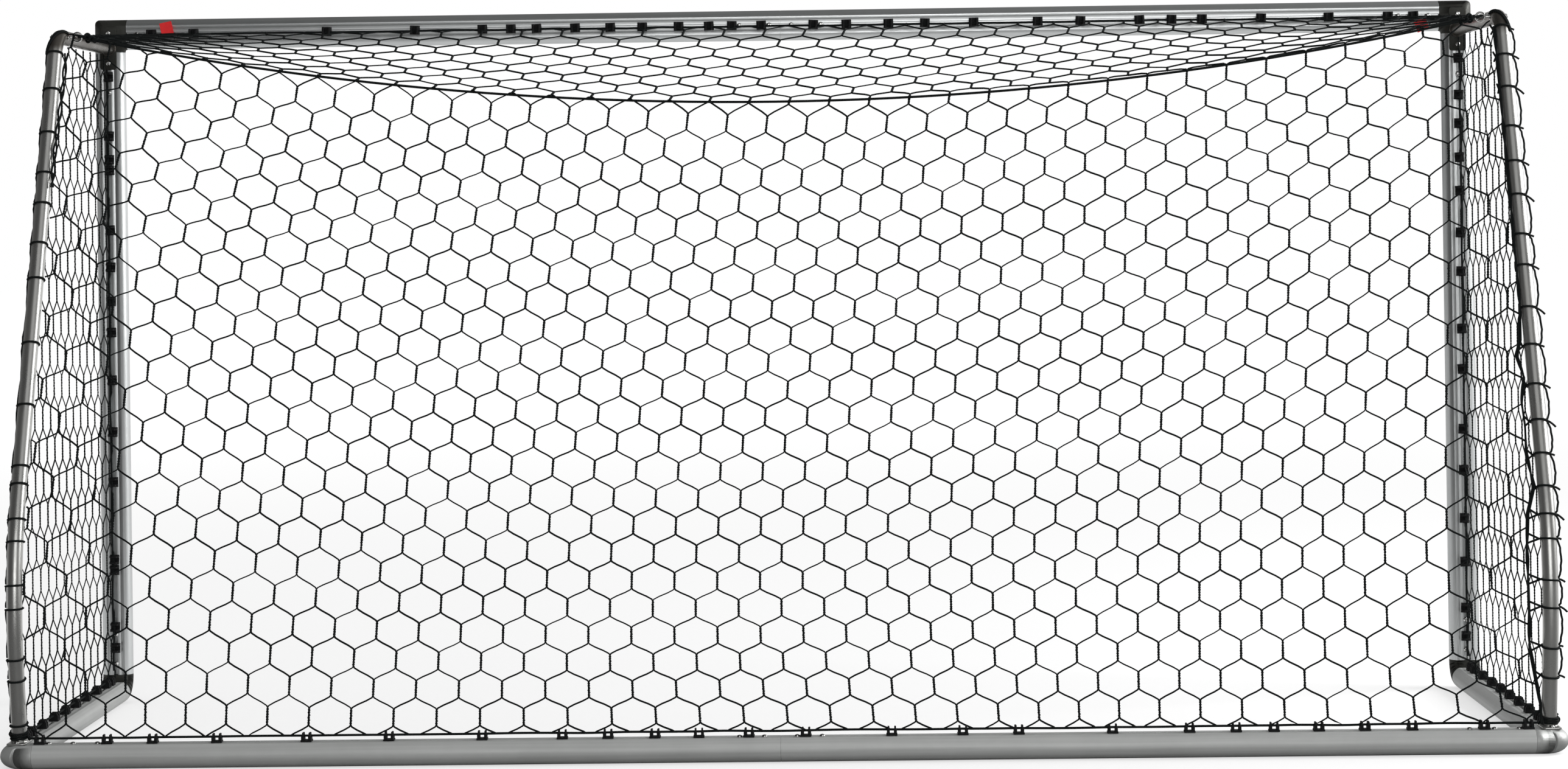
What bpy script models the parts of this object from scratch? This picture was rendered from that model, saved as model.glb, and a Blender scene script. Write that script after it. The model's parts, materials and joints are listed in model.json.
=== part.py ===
"""Portable football goal with a twelve by six foot mouth, in metres, +Z up.

The mouth faces -Y, the net hangs towards +Y, and left (-X) and right (+X) are as seen from the
field in front of the goal. The origin is at the bottom centre of the whole goal.
"""
import math

import bmesh
import bpy
from mathutils import Matrix, Vector

# Overall sizes
CLEAR_WIDTH = 3.66
CLEAR_HEIGHT = 1.82
GROUND_DEPTH = 1.23
TOP_DEPTH = 0.6857

# Extruded bar, the same section for posts, crossbar and ground bars
BAR_WIDTH = 0.084
BAR_DEPTH = 0.060
FLAT_WIDTH = 0.048
NOSE_WIDTH = 0.020
WALL = 0.0025
GROOVE_MOUTH = 0.010
GROOVE_WIDTH = 0.018
GROOVE_LIP = 0.003
GROOVE_DEPTH = 0.009
ARC_STEPS = 5

# Clearances
GAP = 0.0004
FIT = 0.0006

# Corner castings
TOP_LEDGE = 0.007
TOP_ARM = BAR_WIDTH + TOP_LEDGE
TOP_OUTER_ROUND = 0.013
TOP_INNER_FILLET = 0.006
FOOT_BEND = 0.018
FOOT_STEPS = 6
CROSSBAR_SPIGOT = 0.130
POST_TOP_SPIGOT = 0.135
POST_FOOT_SPIGOT = 0.135
SIDE_FRONT_SPIGOT = 0.115
SIDE_REAR_SPIGOT = 0.105
REAR_SPIGOT = 0.180
JOINT_SLEEVE = 0.300
CASTING_WALL = 0.004
BORE_SIDES = 8

# Bolts, by their distance from the seam that they bridge
BOLT_HEAD_RADIUS = 0.007
BOLT_HEAD_CROWN = 0.0045
BOLT_HEAD_HEIGHT = 0.0048
BOLT_SHANK_RADIUS = 0.004
BOLT_SIDES = 8
STRIP_WIDTH = 0.014
STRIP_THICKNESS = 0.004
STRIP_MARGIN = 0.012
FRAME_BOLTS = (0.031, 0.113)
CENTRE_BOLTS = (0.031, 0.113)
REAR_BOLTS = (0.035, 0.095, 0.155)
REAR_CENTRE_BOLTS = (0.040, 0.101)
SIDE_FRONT_BOLTS = (0.031, 0.092)
SIDE_REAR_PITCH = 0.061

# Stanchions: a tube bent over at the top and drawn in at a wide knee, with a flange and a foot plate
TUBE_RADIUS = 0.019
TUBE_WALL = 0.002
TUBE_RES = 4
BORE_RES = 2
BEND_RADIUS = 0.080
BEND_STEPS = 6
KNEE_OUT = 0.064
KNEE_RISE = 0.411
KNEE_RADIUS = 0.800
KNEE_STEPS = 4
TUBE_DROP = 0.080
FLANGE_WIDTH = 0.046
FLANGE_THICKNESS = 0.004
FLANGE_HALF = 0.060
FLANGE_BOLT = 0.042
FOOT_INSET = 0.025
FOOT_PLATE_HALF = 0.048
FOOT_BOLT = 0.035

# Eye bolts that the rear rope is tied to
EYE_RADIUS = 0.0115
EYE_WIRE = 0.0027
EYE_REACH = 0.043
EYE_SHANK = 0.004
EYE_CLEARANCE = 0.004
EYE_SIDES = 5
EYE_STEPS = 12
NUT_RADIUS = 0.0075
NUT_HEIGHT = 0.006

# Net, ropes, clips and tags
TWINE = 0.006
ROPE_RADIUS = 0.0035
REAR_ROPE_RADIUS = 0.0042
ROPE_SAG = 0.197
CLIP_LENGTH = 0.027
CLIP_WIDTH = 0.025
CLIP_HEIGHT = 0.014
NET_STANDOFF = 0.0195
NET_CLEARANCE = 0.014
NET_DRAW = 0.300
NET_CURL = 6
REAR_CELLS = (13, 8)
ROOF_CELLS = (13, 3)
SIDE_CELLS = (4, 8)
LACING_TURNS = 7
LACING_STEPS = 8
LACING_RADIUS = 0.003
LACING_FIT = 0.0012
LACING_TOP = 0.150
LACING_FOOT = 0.110

# The clips slide in the groove. These are the shares of each bay between two bolts at which they
# were left, counted from the middle of the goal outwards, from the ground up, or from front to rear.
CROSSBAR_CLIPS = {
    "left": ((1.0,), (0.032, 0.107, 0.172, 0.259, 0.373, 0.449, 0.554, 0.611, 0.665, 0.77, 0.89, 0.995), (0.5,)),
    "right": ((0.0,), (0.0, 0.041, 0.095, 0.16, 0.217, 0.28, 0.349, 0.395, 0.446, 0.567, 0.725, 0.964), (0.5,)),
}
REAR_CLIPS = {
    "left": ((0.0,), (0.097, 0.21, 0.299, 0.448, 0.57, 0.644, 0.704, 0.775, 0.848, 0.923), (0.8,)),
    "right": ((0.9,), (0.051, 0.121, 0.196, 0.269, 0.397, 0.546, 0.678, 0.822, 0.925, 0.998)),
}
POST_CLIPS = {
    "left": ((0.4,), (0.008, 0.095, 0.177, 0.268, 0.345, 0.458, 0.534, 0.642, 0.715, 0.794, 0.857, 0.921, 0.975)),
    "right": ((0.6,), (0.0, 0.108, 0.128, 0.275, 0.37, 0.468, 0.559, 0.618, 0.683, 0.753, 0.867, 0.887, 0.932)),
}
SIDE_CLIPS = ((0.5,), (0.0, 0.14, 0.29, 0.43, 0.57, 0.71, 0.86, 1.0))
TAG_SIZE = 0.034
TAG_THICKNESS = 0.001
TAG_TILTS = {"left": math.radians(20), "right": math.radians(12)}
TAG_RISES = {"left": -0.765 * TAG_SIZE, "right": 0.43 * TAG_SIZE}
TAG_INSETS = {"left": 0.62 * TAG_SIZE, "right": 0.12 * TAG_SIZE}

# Places that follow from the sizes above
SIDES = (("left", -1), ("right", 1))
POST_X = CLEAR_WIDTH / 2 + BAR_WIDTH / 2
FRONT_Y = -GROUND_DEPTH / 2
BACK_FACE_Y = FRONT_Y + BAR_DEPTH
REAR_Y = GROUND_DEPTH / 2 - BAR_WIDTH / 2
CROSSBAR_Z = CLEAR_HEIGHT + BAR_WIDTH / 2
TOP_Z = CLEAR_HEIGHT + BAR_WIDTH
TOP_SEAM_X = POST_X + BAR_WIDTH / 2 - TOP_ARM
TOP_SEAM_Z = TOP_Z - TOP_ARM
FOOT_SEAM_Z = BAR_DEPTH + FOOT_BEND
FOOT_SEAM_Y = BACK_FACE_Y + FOOT_BEND
REAR_SEAM_X = POST_X - BAR_WIDTH / 2
REAR_SEAM_Y = REAR_Y - BAR_WIDTH / 2
GROOVE_FLOOR = GROOVE_LIP + GROOVE_DEPTH
TUBE_Z = TOP_Z - TUBE_DROP
ELBOW_Y = FRONT_Y + TOP_DEPTH
FOOT_Y = REAR_Y - FOOT_INSET
LEG_TOP = Vector((0, ELBOW_Y, TUBE_Z))
LEG_FOOT = Vector((0, FOOT_Y, BAR_DEPTH))
KNEE = LEG_FOOT + Vector((0, KNEE_OUT, KNEE_RISE))
LEG = (KNEE - LEG_TOP).normalized()
SHIN = (LEG_FOOT - KNEE).normalized()
LEG_ANGLE, SHIN_ANGLE = math.acos(LEG.y), math.acos(SHIN.y)
EYE_Y = ELBOW_Y - BEND_RADIUS * math.tan(LEG_ANGLE / 2)
KNEE_TURN = math.tan((SHIN_ANGLE - LEG_ANGLE) / 2)
KNEE_TANGENT = min(KNEE_RADIUS * KNEE_TURN, 0.9 * (LEG_FOOT - KNEE).length)
EYE_X = POST_X - EYE_REACH
X_AXIS, Y_AXIS, Z_AXIS = Vector((1, 0, 0)), Vector((0, 1, 0)), Vector((0, 0, 1))


def clear_scene():
    """Remove everything that the file opened with."""
    for obj in list(bpy.data.objects):
        bpy.data.objects.remove(obj, do_unlink=True)


def new_collection(name):
    """Make a collection in the scene."""
    group = bpy.data.collections.new(name)
    bpy.context.scene.collection.children.link(group)
    return group


def new_material(name, colour, metallic, roughness):
    """Make a plain Principled material."""
    material = bpy.data.materials.new(name)
    material.use_nodes = True
    shader = material.node_tree.nodes["Principled BSDF"]
    shader.inputs["Base Color"].default_value = (*colour, 1)
    shader.inputs["Metallic"].default_value = metallic
    shader.inputs["Roughness"].default_value = roughness
    return material


clear_scene()
PARTS = new_collection("football_goal")
CUTTERS = new_collection("cutters")
ALUMINIUM = new_material("brushed_aluminium", (0.50, 0.52, 0.52), 0.9, 0.42)
CASTING = new_material("olive_grey_casting", (0.055, 0.055, 0.045), 0.3, 0.5)
GROUND_ALUMINIUM = new_material("ground_bar_aluminium", (0.30, 0.31, 0.30), 0.8, 0.5)
TUBE_PAINT = new_material("stanchion_paint", (0.10, 0.10, 0.095), 0.4, 0.4)
BRIGHT_STEEL = new_material("bright_steel", (0.75, 0.75, 0.75), 1.0, 0.2)
BLACK_CORD = new_material("black_cord", (0.012, 0.015, 0.014), 0.0, 0.85)
BLACK_PLASTIC = new_material("black_plastic", (0.012, 0.013, 0.013), 0.0, 0.55)
RED_TAG = new_material("red_tag", (0.55, 0.012, 0.015), 0.0, 0.6)


def frame_at(origin, out, along):
    """Local frame of a bar: X across, Y out of its flat face, Z along it."""
    across = out.cross(along)
    columns = Matrix((across, out, along)).transposed().to_4x4()
    return Matrix.Translation(origin) @ columns


CROSSBAR = frame_at(Vector((0, BACK_FACE_Y, CROSSBAR_Z)), Y_AXIS, X_AXIS)
REAR_BAR = frame_at(Vector((0, REAR_Y, BAR_DEPTH)), Z_AXIS, X_AXIS)


def post_frame(side):
    """Frame of a post: distances along it are heights."""
    return frame_at(Vector((side * POST_X, BACK_FACE_Y, 0)), Y_AXIS, Z_AXIS)


def side_frame(side):
    """Frame of a side ground bar: distances along it are Y."""
    return frame_at(Vector((side * POST_X, 0, BAR_DEPTH)), Z_AXIS, Y_AXIS)


# Outlines, as (across, out) pairs whose flat face lies at out = 0

def half_arc(inset):
    """Right half of the bar's round side, from the flat face down to the nose."""
    flat, nose, half = FLAT_WIDTH / 2, NOSE_WIDTH / 2, BAR_WIDTH / 2
    flat_rise = math.sqrt(1 - (flat / half) ** 2)
    nose_rise = math.sqrt(1 - (nose / half) ** 2)
    height = BAR_DEPTH / (flat_rise + nose_rise)
    middle = height * flat_rise
    top = math.asin((middle - inset) / (height - inset))
    bottom = -math.asin((BAR_DEPTH - inset - middle) / (height - inset))
    points = []
    for step in range(ARC_STEPS + 1):
        angle = top + (bottom - top) * step / ARC_STEPS
        across = (half - inset) * math.cos(angle)
        points.append((across, -middle + (height - inset) * math.sin(angle)))
    return points


def mirrored(points):
    """The same points on the other side, in reverse order."""
    return [(-across, out) for across, out in reversed(points)]


def plain_outline():
    """The bar's outside without its groove, with points on the centre line."""
    arc = half_arc(0)
    return [(0, 0), *arc, (0, -BAR_DEPTH), *mirrored(arc)]


def grooved_outline():
    """The bar's outside with the net groove in its flat face."""
    arc = half_arc(0)
    mouth, inner = GROOVE_MOUTH / 2, GROOVE_WIDTH / 2
    lip = [(mouth, 0), *arc, *mirrored(arc), (-mouth, 0)]
    return [*lip, (-mouth, -GROOVE_LIP), (-inner, -GROOVE_LIP), (-inner, -GROOVE_FLOOR),
            (inner, -GROOVE_FLOOR), (inner, -GROOVE_LIP), (mouth, -GROOVE_LIP)]


def cavity_outline(fit):
    """The hollow that runs round the groove channel, or a spigot that slides in it with a fit."""
    arc = half_arc(WALL + fit)
    channel = GROOVE_WIDTH / 2 + WALL + fit
    floor = -(GROOVE_FLOOR + WALL + fit)
    return [(channel, arc[0][1]), *arc, *mirrored(arc), (-channel, arc[0][1]), (-channel, floor), (channel, floor)]


def circle_outline(radius, sides):
    """A regular polygon of the given outer radius."""
    return [(radius * math.cos(math.tau * i / sides), radius * math.sin(math.tau * i / sides)) for i in range(sides)]


def bore_outline():
    """The oval hollow inside a spigot, a casting or a sleeve, below the pocket of its threaded strip."""
    top = STRIP_BOTTOM - FIT - CASTING_WALL
    bottom = -(BAR_DEPTH - WALL - FIT - CASTING_WALL)
    half_width = BAR_WIDTH / 2 - WALL - FIT - 2 * CASTING_WALL
    middle, half_height = (top + bottom) / 2, (top - bottom) / 2
    return [(half_width * across, middle + half_height * out) for across, out in circle_outline(1, BORE_SIDES)]


# Meshes

def finish_mesh(bm, name):
    """Weld a bmesh, turn its faces outwards and return it as a mesh."""
    bmesh.ops.remove_doubles(bm, verts=bm.verts, dist=1e-6)
    bmesh.ops.recalc_face_normals(bm, faces=bm.faces)
    mesh = bpy.data.meshes.new(name)
    bm.to_mesh(mesh)
    bm.free()
    return mesh


def prism(name, outlines, start, end):
    """A filled outline, with holes, extruded along local Z from start to end."""
    curve = bpy.data.curves.new(name, "CURVE")
    curve.dimensions = "2D"
    curve.fill_mode = "BOTH"
    curve.extrude = (end - start) / 2
    for outline in outlines:
        spline = curve.splines.new("POLY")
        spline.points.add(len(outline) - 1)
        for point, (across, out) in zip(spline.points, outline):
            point.co = (across, out, 0, 1)
        spline.use_cyclic_u = True
    flat = bpy.data.objects.new(name, curve)
    bpy.context.scene.collection.objects.link(flat)
    mesh = bpy.data.meshes.new_from_object(flat.evaluated_get(bpy.context.evaluated_depsgraph_get()))
    bpy.data.objects.remove(flat)
    bpy.data.curves.remove(curve)
    bm = bmesh.new()
    bm.from_mesh(mesh)
    bpy.data.meshes.remove(mesh)
    bmesh.ops.translate(bm, verts=bm.verts, vec=(0, 0, (start + end) / 2))
    return finish_mesh(bm, name)


def box(name, low, high):
    """A box between two corners."""
    bm = bmesh.new()
    size = Vector(high) - Vector(low)
    middle = (Vector(high) + Vector(low)) / 2
    bmesh.ops.create_cube(bm, size=1, matrix=Matrix.Translation(middle) @ Matrix.Diagonal((*size, 1)))
    return finish_mesh(bm, name)


def rings_solid(name, rings):
    """A closed solid through rings of points, capped at both ends."""
    bm = bmesh.new()
    loops = [[bm.verts.new(point) for point in ring] for ring in rings]
    for one, two in zip(loops, loops[1:]):
        for i in range(len(one)):
            j = (i + 1) % len(one)
            bm.faces.new((one[i], one[j], two[j], two[i]))
    bm.faces.new(reversed(loops[0]))
    bm.faces.new(loops[-1])
    return finish_mesh(bm, name)


def turned(name, profile, sides):
    """A solid of revolution about local Y, from a profile of (radius, out) pairs."""
    rings = [[(radius * math.cos(math.tau * i / sides), out, radius * math.sin(math.tau * i / sides))
              for i in range(sides)] for radius, out in profile]
    return rings_solid(name, rings)


def along_curve(name, points, radius, resolution):
    """A round rod along points, as a closed mesh."""
    curve = bpy.data.curves.new(name, "CURVE")
    curve.dimensions = "3D"
    curve.bevel_depth = radius
    curve.bevel_resolution = resolution
    curve.use_fill_caps = True
    spline = curve.splines.new("POLY")
    spline.points.add(len(points) - 1)
    for point, place in zip(spline.points, points):
        point.co = (*place, 1)
    rod = bpy.data.objects.new(name, curve)
    bpy.context.scene.collection.objects.link(rod)
    mesh = bpy.data.meshes.new_from_object(rod.evaluated_get(bpy.context.evaluated_depsgraph_get()))
    bpy.data.objects.remove(rod)
    bm = bmesh.new()
    bm.from_mesh(mesh)
    bpy.data.meshes.remove(mesh)
    return finish_mesh(bm, name)


# Objects

def add_part(name, mesh, material, frame=None):
    """Put a mesh into the goal as a named piece."""
    obj = bpy.data.objects.new(name, mesh)
    mesh.materials.clear()
    mesh.materials.append(material)
    if frame is not None:
        obj.matrix_world = frame
    PARTS.objects.link(obj)
    return obj


def add_cutter(name, mesh, frame=None):
    """Put a mesh among the hidden tools."""
    obj = bpy.data.objects.new(name, mesh)
    if frame is not None:
        obj.matrix_world = frame
    obj.hide_render = True
    obj.display_type = "WIRE"
    CUTTERS.objects.link(obj)
    return obj


def combine(obj, tool, operation):
    """Cut a tool out of a piece, or join it on."""
    modifier = obj.modifiers.new(tool.name, "BOOLEAN")
    modifier.operation = operation
    modifier.solver = "EXACT"
    modifier.object = tool


def join_on(obj, name, mesh, frame=None):
    """Join a mesh onto a piece."""
    combine(obj, add_cutter(name, mesh, frame), "UNION")


def cut_out(obj, name, mesh, frame=None):
    """Cut a mesh out of a piece."""
    combine(obj, add_cutter(name, mesh, frame), "DIFFERENCE")


# Bolts: each row screws down into one threaded strip under the groove floor

STRIP_TOP = -(GROOVE_FLOOR + WALL + FIT)
STRIP_BOTTOM = STRIP_TOP - STRIP_THICKNESS


def hole(depth_from, depth_to, along):
    """A cutter for one bolt's clearance hole, square to the flat face."""
    radius = BOLT_SHANK_RADIUS + FIT
    mesh = turned("hole", [(radius, depth_from), (radius, depth_to)], BOLT_SIDES)
    mesh.transform(Matrix.Translation((0, 0, along)))
    return mesh


def drill_floor(obj, frame, places):
    """Drill the groove floor of a bar for a row of bolts."""
    below, above = -(GROOVE_FLOOR + WALL + FIT / 2), -GROOVE_FLOOR + GROOVE_LIP
    for place in places:
        cut_out(obj, f"{obj.name}_hole", hole(below, above, place), frame)


def strip_pocket(obj, frame, places):
    """Cut the pocket that a threaded strip lies in."""
    half = STRIP_WIDTH / 2 + FIT
    low, high = min(places) - STRIP_MARGIN - FIT, max(places) + STRIP_MARGIN + FIT
    mesh = box("pocket", (-half, STRIP_BOTTOM - FIT, low), (half, STRIP_TOP + WALL, high))
    cut_out(obj, f"{obj.name}_pocket", mesh, frame)


def bolt(seat, foot, along):
    """One round-headed bolt whose head sits on a seat and whose shank ends at a foot."""
    profile = [(BOLT_SHANK_RADIUS, foot), (BOLT_SHANK_RADIUS, seat), (BOLT_HEAD_RADIUS, seat),
               (BOLT_HEAD_CROWN, seat + BOLT_HEAD_HEIGHT)]
    mesh = turned("bolt", profile, BOLT_SIDES)
    mesh.transform(Matrix.Translation((0, 0, along)))
    return mesh


def bolt_row(name, frame, places, seats=None):
    """A threaded strip with its bolts."""
    low, high = min(places) - STRIP_MARGIN, max(places) + STRIP_MARGIN
    half = STRIP_WIDTH / 2
    strip = add_part(name, box(name, (-half, STRIP_BOTTOM, low), (half, STRIP_TOP - GAP, high)), BRIGHT_STEEL, frame)
    for index, place in enumerate(places):
        seat = seats[index] if seats else GAP
        join_on(strip, f"{name}_bolt", bolt(seat, (STRIP_TOP + STRIP_BOTTOM) / 2, place), frame)
    return strip


def spigot(obj, frame, seam, reach, length):
    """Join onto a casting the tongue that slides into a bar; reach is its way along the frame."""
    root, tip = seam - reach * WALL, seam + reach * length
    mesh = prism("spigot", [cavity_outline(FIT)], min(root, tip), max(root, tip))
    join_on(obj, f"{obj.name}_spigot", mesh, frame)


def bore(obj, frame, start, end):
    """Hollow out a casting or a sleeve between two places along a bar's frame."""
    mesh = prism("bore", [bore_outline()], min(start, end), max(start, end))
    cut_out(obj, f"{obj.name}_bore", mesh, frame)


# Bars

def bar(name, frame, start, end, bolts, material):
    """A hollow grooved bar with holes in its groove floor."""
    mesh = prism(name, [grooved_outline(), cavity_outline(0)], start + GAP / 2, end - GAP / 2)
    obj = add_part(name, mesh, material, frame)
    drill_floor(obj, frame, bolts)
    return obj


def joint_sleeve(name, frame, bolts, material):
    """The inner sleeve that joins two half bars at their middle."""
    mesh = prism(name, [cavity_outline(FIT)], -JOINT_SLEEVE / 2, JOINT_SLEEVE / 2)
    obj = add_part(name, mesh, material, frame)
    strip_pocket(obj, frame, bolts)
    bore(obj, frame, -JOINT_SLEEVE, JOINT_SLEEVE)
    return obj


def both_ways(distances):
    """Distances on both sides of the middle, in order."""
    return [-d for d in reversed(distances)] + list(distances)


CROSSBAR_END_BOLTS = [TOP_SEAM_X - d for d in FRAME_BOLTS]
REAR_END_BOLTS = [REAR_SEAM_X - d for d in REAR_BOLTS]
POST_TOP_BOLTS = [TUBE_Z - FLANGE_BOLT, TOP_SEAM_Z - FRAME_BOLTS[1]]
POST_FOOT_BOLTS = [FOOT_SEAM_Z + d for d in FRAME_BOLTS]
SIDE_FRONT_PLACES = [FOOT_SEAM_Y + d for d in SIDE_FRONT_BOLTS]
SIDE_REAR_PLACES = [FOOT_Y - FOOT_BOLT, FOOT_Y - FOOT_BOLT - SIDE_REAR_PITCH]


def make_crossbar():
    """Two half crossbars, their sleeve and its bolts."""
    for label, side in SIDES:
        ends = sorted((0, side * TOP_SEAM_X))
        bolts = [side * d for d in (*CENTRE_BOLTS, *CROSSBAR_END_BOLTS)]
        bar(f"crossbar_{label}_half", CROSSBAR, *ends, bolts, ALUMINIUM)
    joint_sleeve("crossbar_joint_sleeve", CROSSBAR, both_ways(CENTRE_BOLTS), ALUMINIUM)
    bolt_row("crossbar_joint_bolts", CROSSBAR, both_ways(CENTRE_BOLTS))


def make_rear_bar():
    """Two half rear ground bars, their sleeve and its bolts."""
    for label, side in SIDES:
        ends = sorted((0, side * REAR_SEAM_X))
        bolts = [side * d for d in (*REAR_CENTRE_BOLTS, *REAR_END_BOLTS)]
        bar(f"rear_bar_{label}_half", REAR_BAR, *ends, bolts, GROUND_ALUMINIUM)
    joint_sleeve("rear_bar_joint_sleeve", REAR_BAR, both_ways(REAR_CENTRE_BOLTS), ALUMINIUM)
    bolt_row("rear_bar_joint_bolts", REAR_BAR, both_ways(REAR_CENTRE_BOLTS))


def make_posts_and_side_bars():
    """Both posts and both side ground bars."""
    for label, side in SIDES:
        bar(f"{label}_post", post_frame(side), FOOT_SEAM_Z, TOP_SEAM_Z, POST_TOP_BOLTS + POST_FOOT_BOLTS, ALUMINIUM)
        bar(f"{label}_side_ground_bar", side_frame(side), FOOT_SEAM_Y, REAR_SEAM_Y,
            SIDE_FRONT_PLACES + SIDE_REAR_PLACES, GROUND_ALUMINIUM)


# Corner castings

def corner_rings(corner, seams, trims, steps, place):
    """Rings of a cast corner whose two arms meet at a right angle.

    corner is where the arms' centre lines cross, seams where each arm ends, trims how far from
    the inner and outer corner the rounding starts, and place turns (first, second, out) to a point.
    """
    outline = plain_outline()
    half = BAR_WIDTH / 2

    def ring(first_of, second_of):
        return [place(first_of(s), second_of(s), out) for s, out in outline]

    def trim(s):
        return trims[0] + (trims[1] - trims[0]) * (s + half) / (2 * half)

    rings = [ring(lambda s: seams[0], lambda s: corner[1] + s)]
    for step in range(steps + 1):
        angle = math.pi / 2 * step / steps
        rings.append(ring(lambda s: corner[0] + s - trim(s) * (1 - math.sin(angle)),
                          lambda s: corner[1] + s - trim(s) * (1 - math.cos(angle))))
    rings.append(ring(lambda s: corner[0] + s, lambda s: seams[1]))
    return rings


def make_top_corner(label, side):
    """The casting that joins crossbar and post, with its two spigots."""
    rings = corner_rings((POST_X, CROSSBAR_Z), (TOP_SEAM_X + GAP / 2, TOP_SEAM_Z + GAP / 2),
                         (TOP_INNER_FILLET, TOP_OUTER_ROUND), 3,
                         lambda x, z, out: Vector((side * x, BACK_FACE_Y + out, z)))
    name = f"{label}_top_corner"
    obj = add_part(name, rings_solid(name, rings), CASTING)
    post = post_frame(side)
    spigot(obj, CROSSBAR, side * TOP_SEAM_X, -side, CROSSBAR_SPIGOT)
    spigot(obj, post, TOP_SEAM_Z, -1, POST_TOP_SPIGOT)
    bore(obj, CROSSBAR, side * POST_X, side * (TOP_SEAM_X - CROSSBAR_SPIGOT - WALL))
    bore(obj, post, CROSSBAR_Z, TOP_SEAM_Z - POST_TOP_SPIGOT - WALL)
    crossbar_bolts = [side * d for d in CROSSBAR_END_BOLTS]
    strip_pocket(obj, CROSSBAR, crossbar_bolts)
    strip_pocket(obj, post, POST_TOP_BOLTS)
    flange_bolt = TUBE_Z + FLANGE_BOLT
    cut_out(obj, f"{name}_flange_hole", hole(STRIP_BOTTOM, STRIP_THICKNESS, flange_bolt), post)
    bolt_row(f"{label}_crossbar_end_bolts", CROSSBAR, crossbar_bolts)
    seat = FLANGE_THICKNESS + 2 * GAP
    bolt_row(f"{label}_post_top_bolts", post, POST_TOP_BOLTS, (seat, GAP))
    add_part(f"{label}_flange_bolt", bolt(seat, STRIP_BOTTOM + GAP, flange_bolt), BRIGHT_STEEL, post)


def make_foot_corner(label, side):
    """The swept casting that joins post and side ground bar."""
    outline = plain_outline()
    rings = []
    for step in range(FOOT_STEPS + 1):
        angle = math.pi / 2 * step / FOOT_STEPS
        rings.append([Vector((side * POST_X + across, FOOT_SEAM_Y - (FOOT_BEND - out) * math.cos(angle),
                              FOOT_SEAM_Z - (FOOT_BEND - out) * math.sin(angle))) for across, out in outline])
    name = f"{label}_foot_corner"
    mesh = rings_solid(name, rings)
    obj = add_part(name, mesh, CASTING)
    post, ground = post_frame(side), side_frame(side)
    spigot(obj, post, FOOT_SEAM_Z, 1, POST_FOOT_SPIGOT)
    spigot(obj, ground, FOOT_SEAM_Y, 1, SIDE_FRONT_SPIGOT)
    bore(obj, post, FOOT_SEAM_Z, FOOT_SEAM_Z + POST_FOOT_SPIGOT + WALL)
    bore(obj, ground, FOOT_SEAM_Y, FOOT_SEAM_Y + SIDE_FRONT_SPIGOT + WALL)
    strip_pocket(obj, post, POST_FOOT_BOLTS)
    strip_pocket(obj, ground, SIDE_FRONT_PLACES)
    bolt_row(f"{label}_post_foot_bolts", post, POST_FOOT_BOLTS)
    bolt_row(f"{label}_side_bar_front_bolts", ground, SIDE_FRONT_PLACES)


def make_rear_corner(label, side):
    """The casting that joins side and rear ground bar, rounded in plan."""
    rings = corner_rings((POST_X, REAR_Y), (REAR_SEAM_X + GAP / 2, REAR_SEAM_Y + GAP / 2),
                         (0, BAR_WIDTH / 2), 5,
                         lambda x, y, out: Vector((side * x, y, BAR_DEPTH + out)))
    name = f"{label}_rear_corner"
    obj = add_part(name, rings_solid(name, rings), CASTING)
    ground = side_frame(side)
    spigot(obj, REAR_BAR, side * REAR_SEAM_X, -side, REAR_SPIGOT)
    spigot(obj, ground, REAR_SEAM_Y, -1, SIDE_REAR_SPIGOT)
    bore(obj, REAR_BAR, side * POST_X, side * (REAR_SEAM_X - REAR_SPIGOT - WALL))
    bore(obj, ground, REAR_Y, REAR_SEAM_Y - SIDE_REAR_SPIGOT - WALL)
    rear_bolts = [side * d for d in REAR_END_BOLTS]
    strip_pocket(obj, REAR_BAR, rear_bolts)
    strip_pocket(obj, ground, SIDE_REAR_PLACES)
    foot_bolt = FOOT_Y + FOOT_BOLT
    cut_out(obj, f"{name}_foot_hole", hole(STRIP_BOTTOM, STRIP_THICKNESS, foot_bolt), ground)
    bolt_row(f"{label}_rear_bar_end_bolts", REAR_BAR, rear_bolts)
    seat = FLANGE_THICKNESS + 2 * GAP
    bolt_row(f"{label}_side_bar_rear_bolts", ground, SIDE_REAR_PLACES, (seat, GAP))
    add_part(f"{label}_foot_bolt", bolt(seat, STRIP_BOTTOM + GAP, foot_bolt), BRIGHT_STEEL, ground)


# Stanchions

def ray(angle):
    """Direction from a bend's centre, where the tube has turned down by an angle."""
    return Vector((0, math.sin(angle), math.cos(angle)))


def leg_line(inwards=0.0):
    """Points of a leg's line from the top bend through the knee to the foot, or of a line within it."""
    radius = KNEE_TANGENT / KNEE_TURN
    start = KNEE - LEG * KNEE_TANGENT
    bends = ((Vector((0, EYE_Y, TUBE_Z - BEND_RADIUS)), BEND_RADIUS, 0.0, LEG_ANGLE, BEND_STEPS),
             (start - radius * ray(LEG_ANGLE), radius, LEG_ANGLE, SHIN_ANGLE, KNEE_STEPS))
    points = []
    for middle, size, first, last, steps in bends:
        for step in range(steps + 1):
            points.append(middle + (size - inwards) * ray(first + (last - first) * step / steps))
    return [*points, LEG_FOOT - inwards * ray(SHIN_ANGLE)]


def leg_y(height, inwards=0.0):
    """How far back a leg's line lies at a height."""
    line = leg_line(inwards)
    for above, below in zip(line, line[1:]):
        if height >= below.z:
            return above.lerp(below, (above.z - height) / (above.z - below.z)).y
    return line[-1].y


def tube_path(side, inset):
    """Centre line of a stanchion from its flange to its foot, shorter by an inset at both ends."""
    flange = Vector((0, BACK_FACE_Y + FLANGE_THICKNESS + inset, TUBE_Z))
    points = [flange, *leg_line()[:-1], LEG_FOOT + SHIN * (FLANGE_THICKNESS - inset)]
    return [point + X_AXIS * side * POST_X for point in points]


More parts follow.
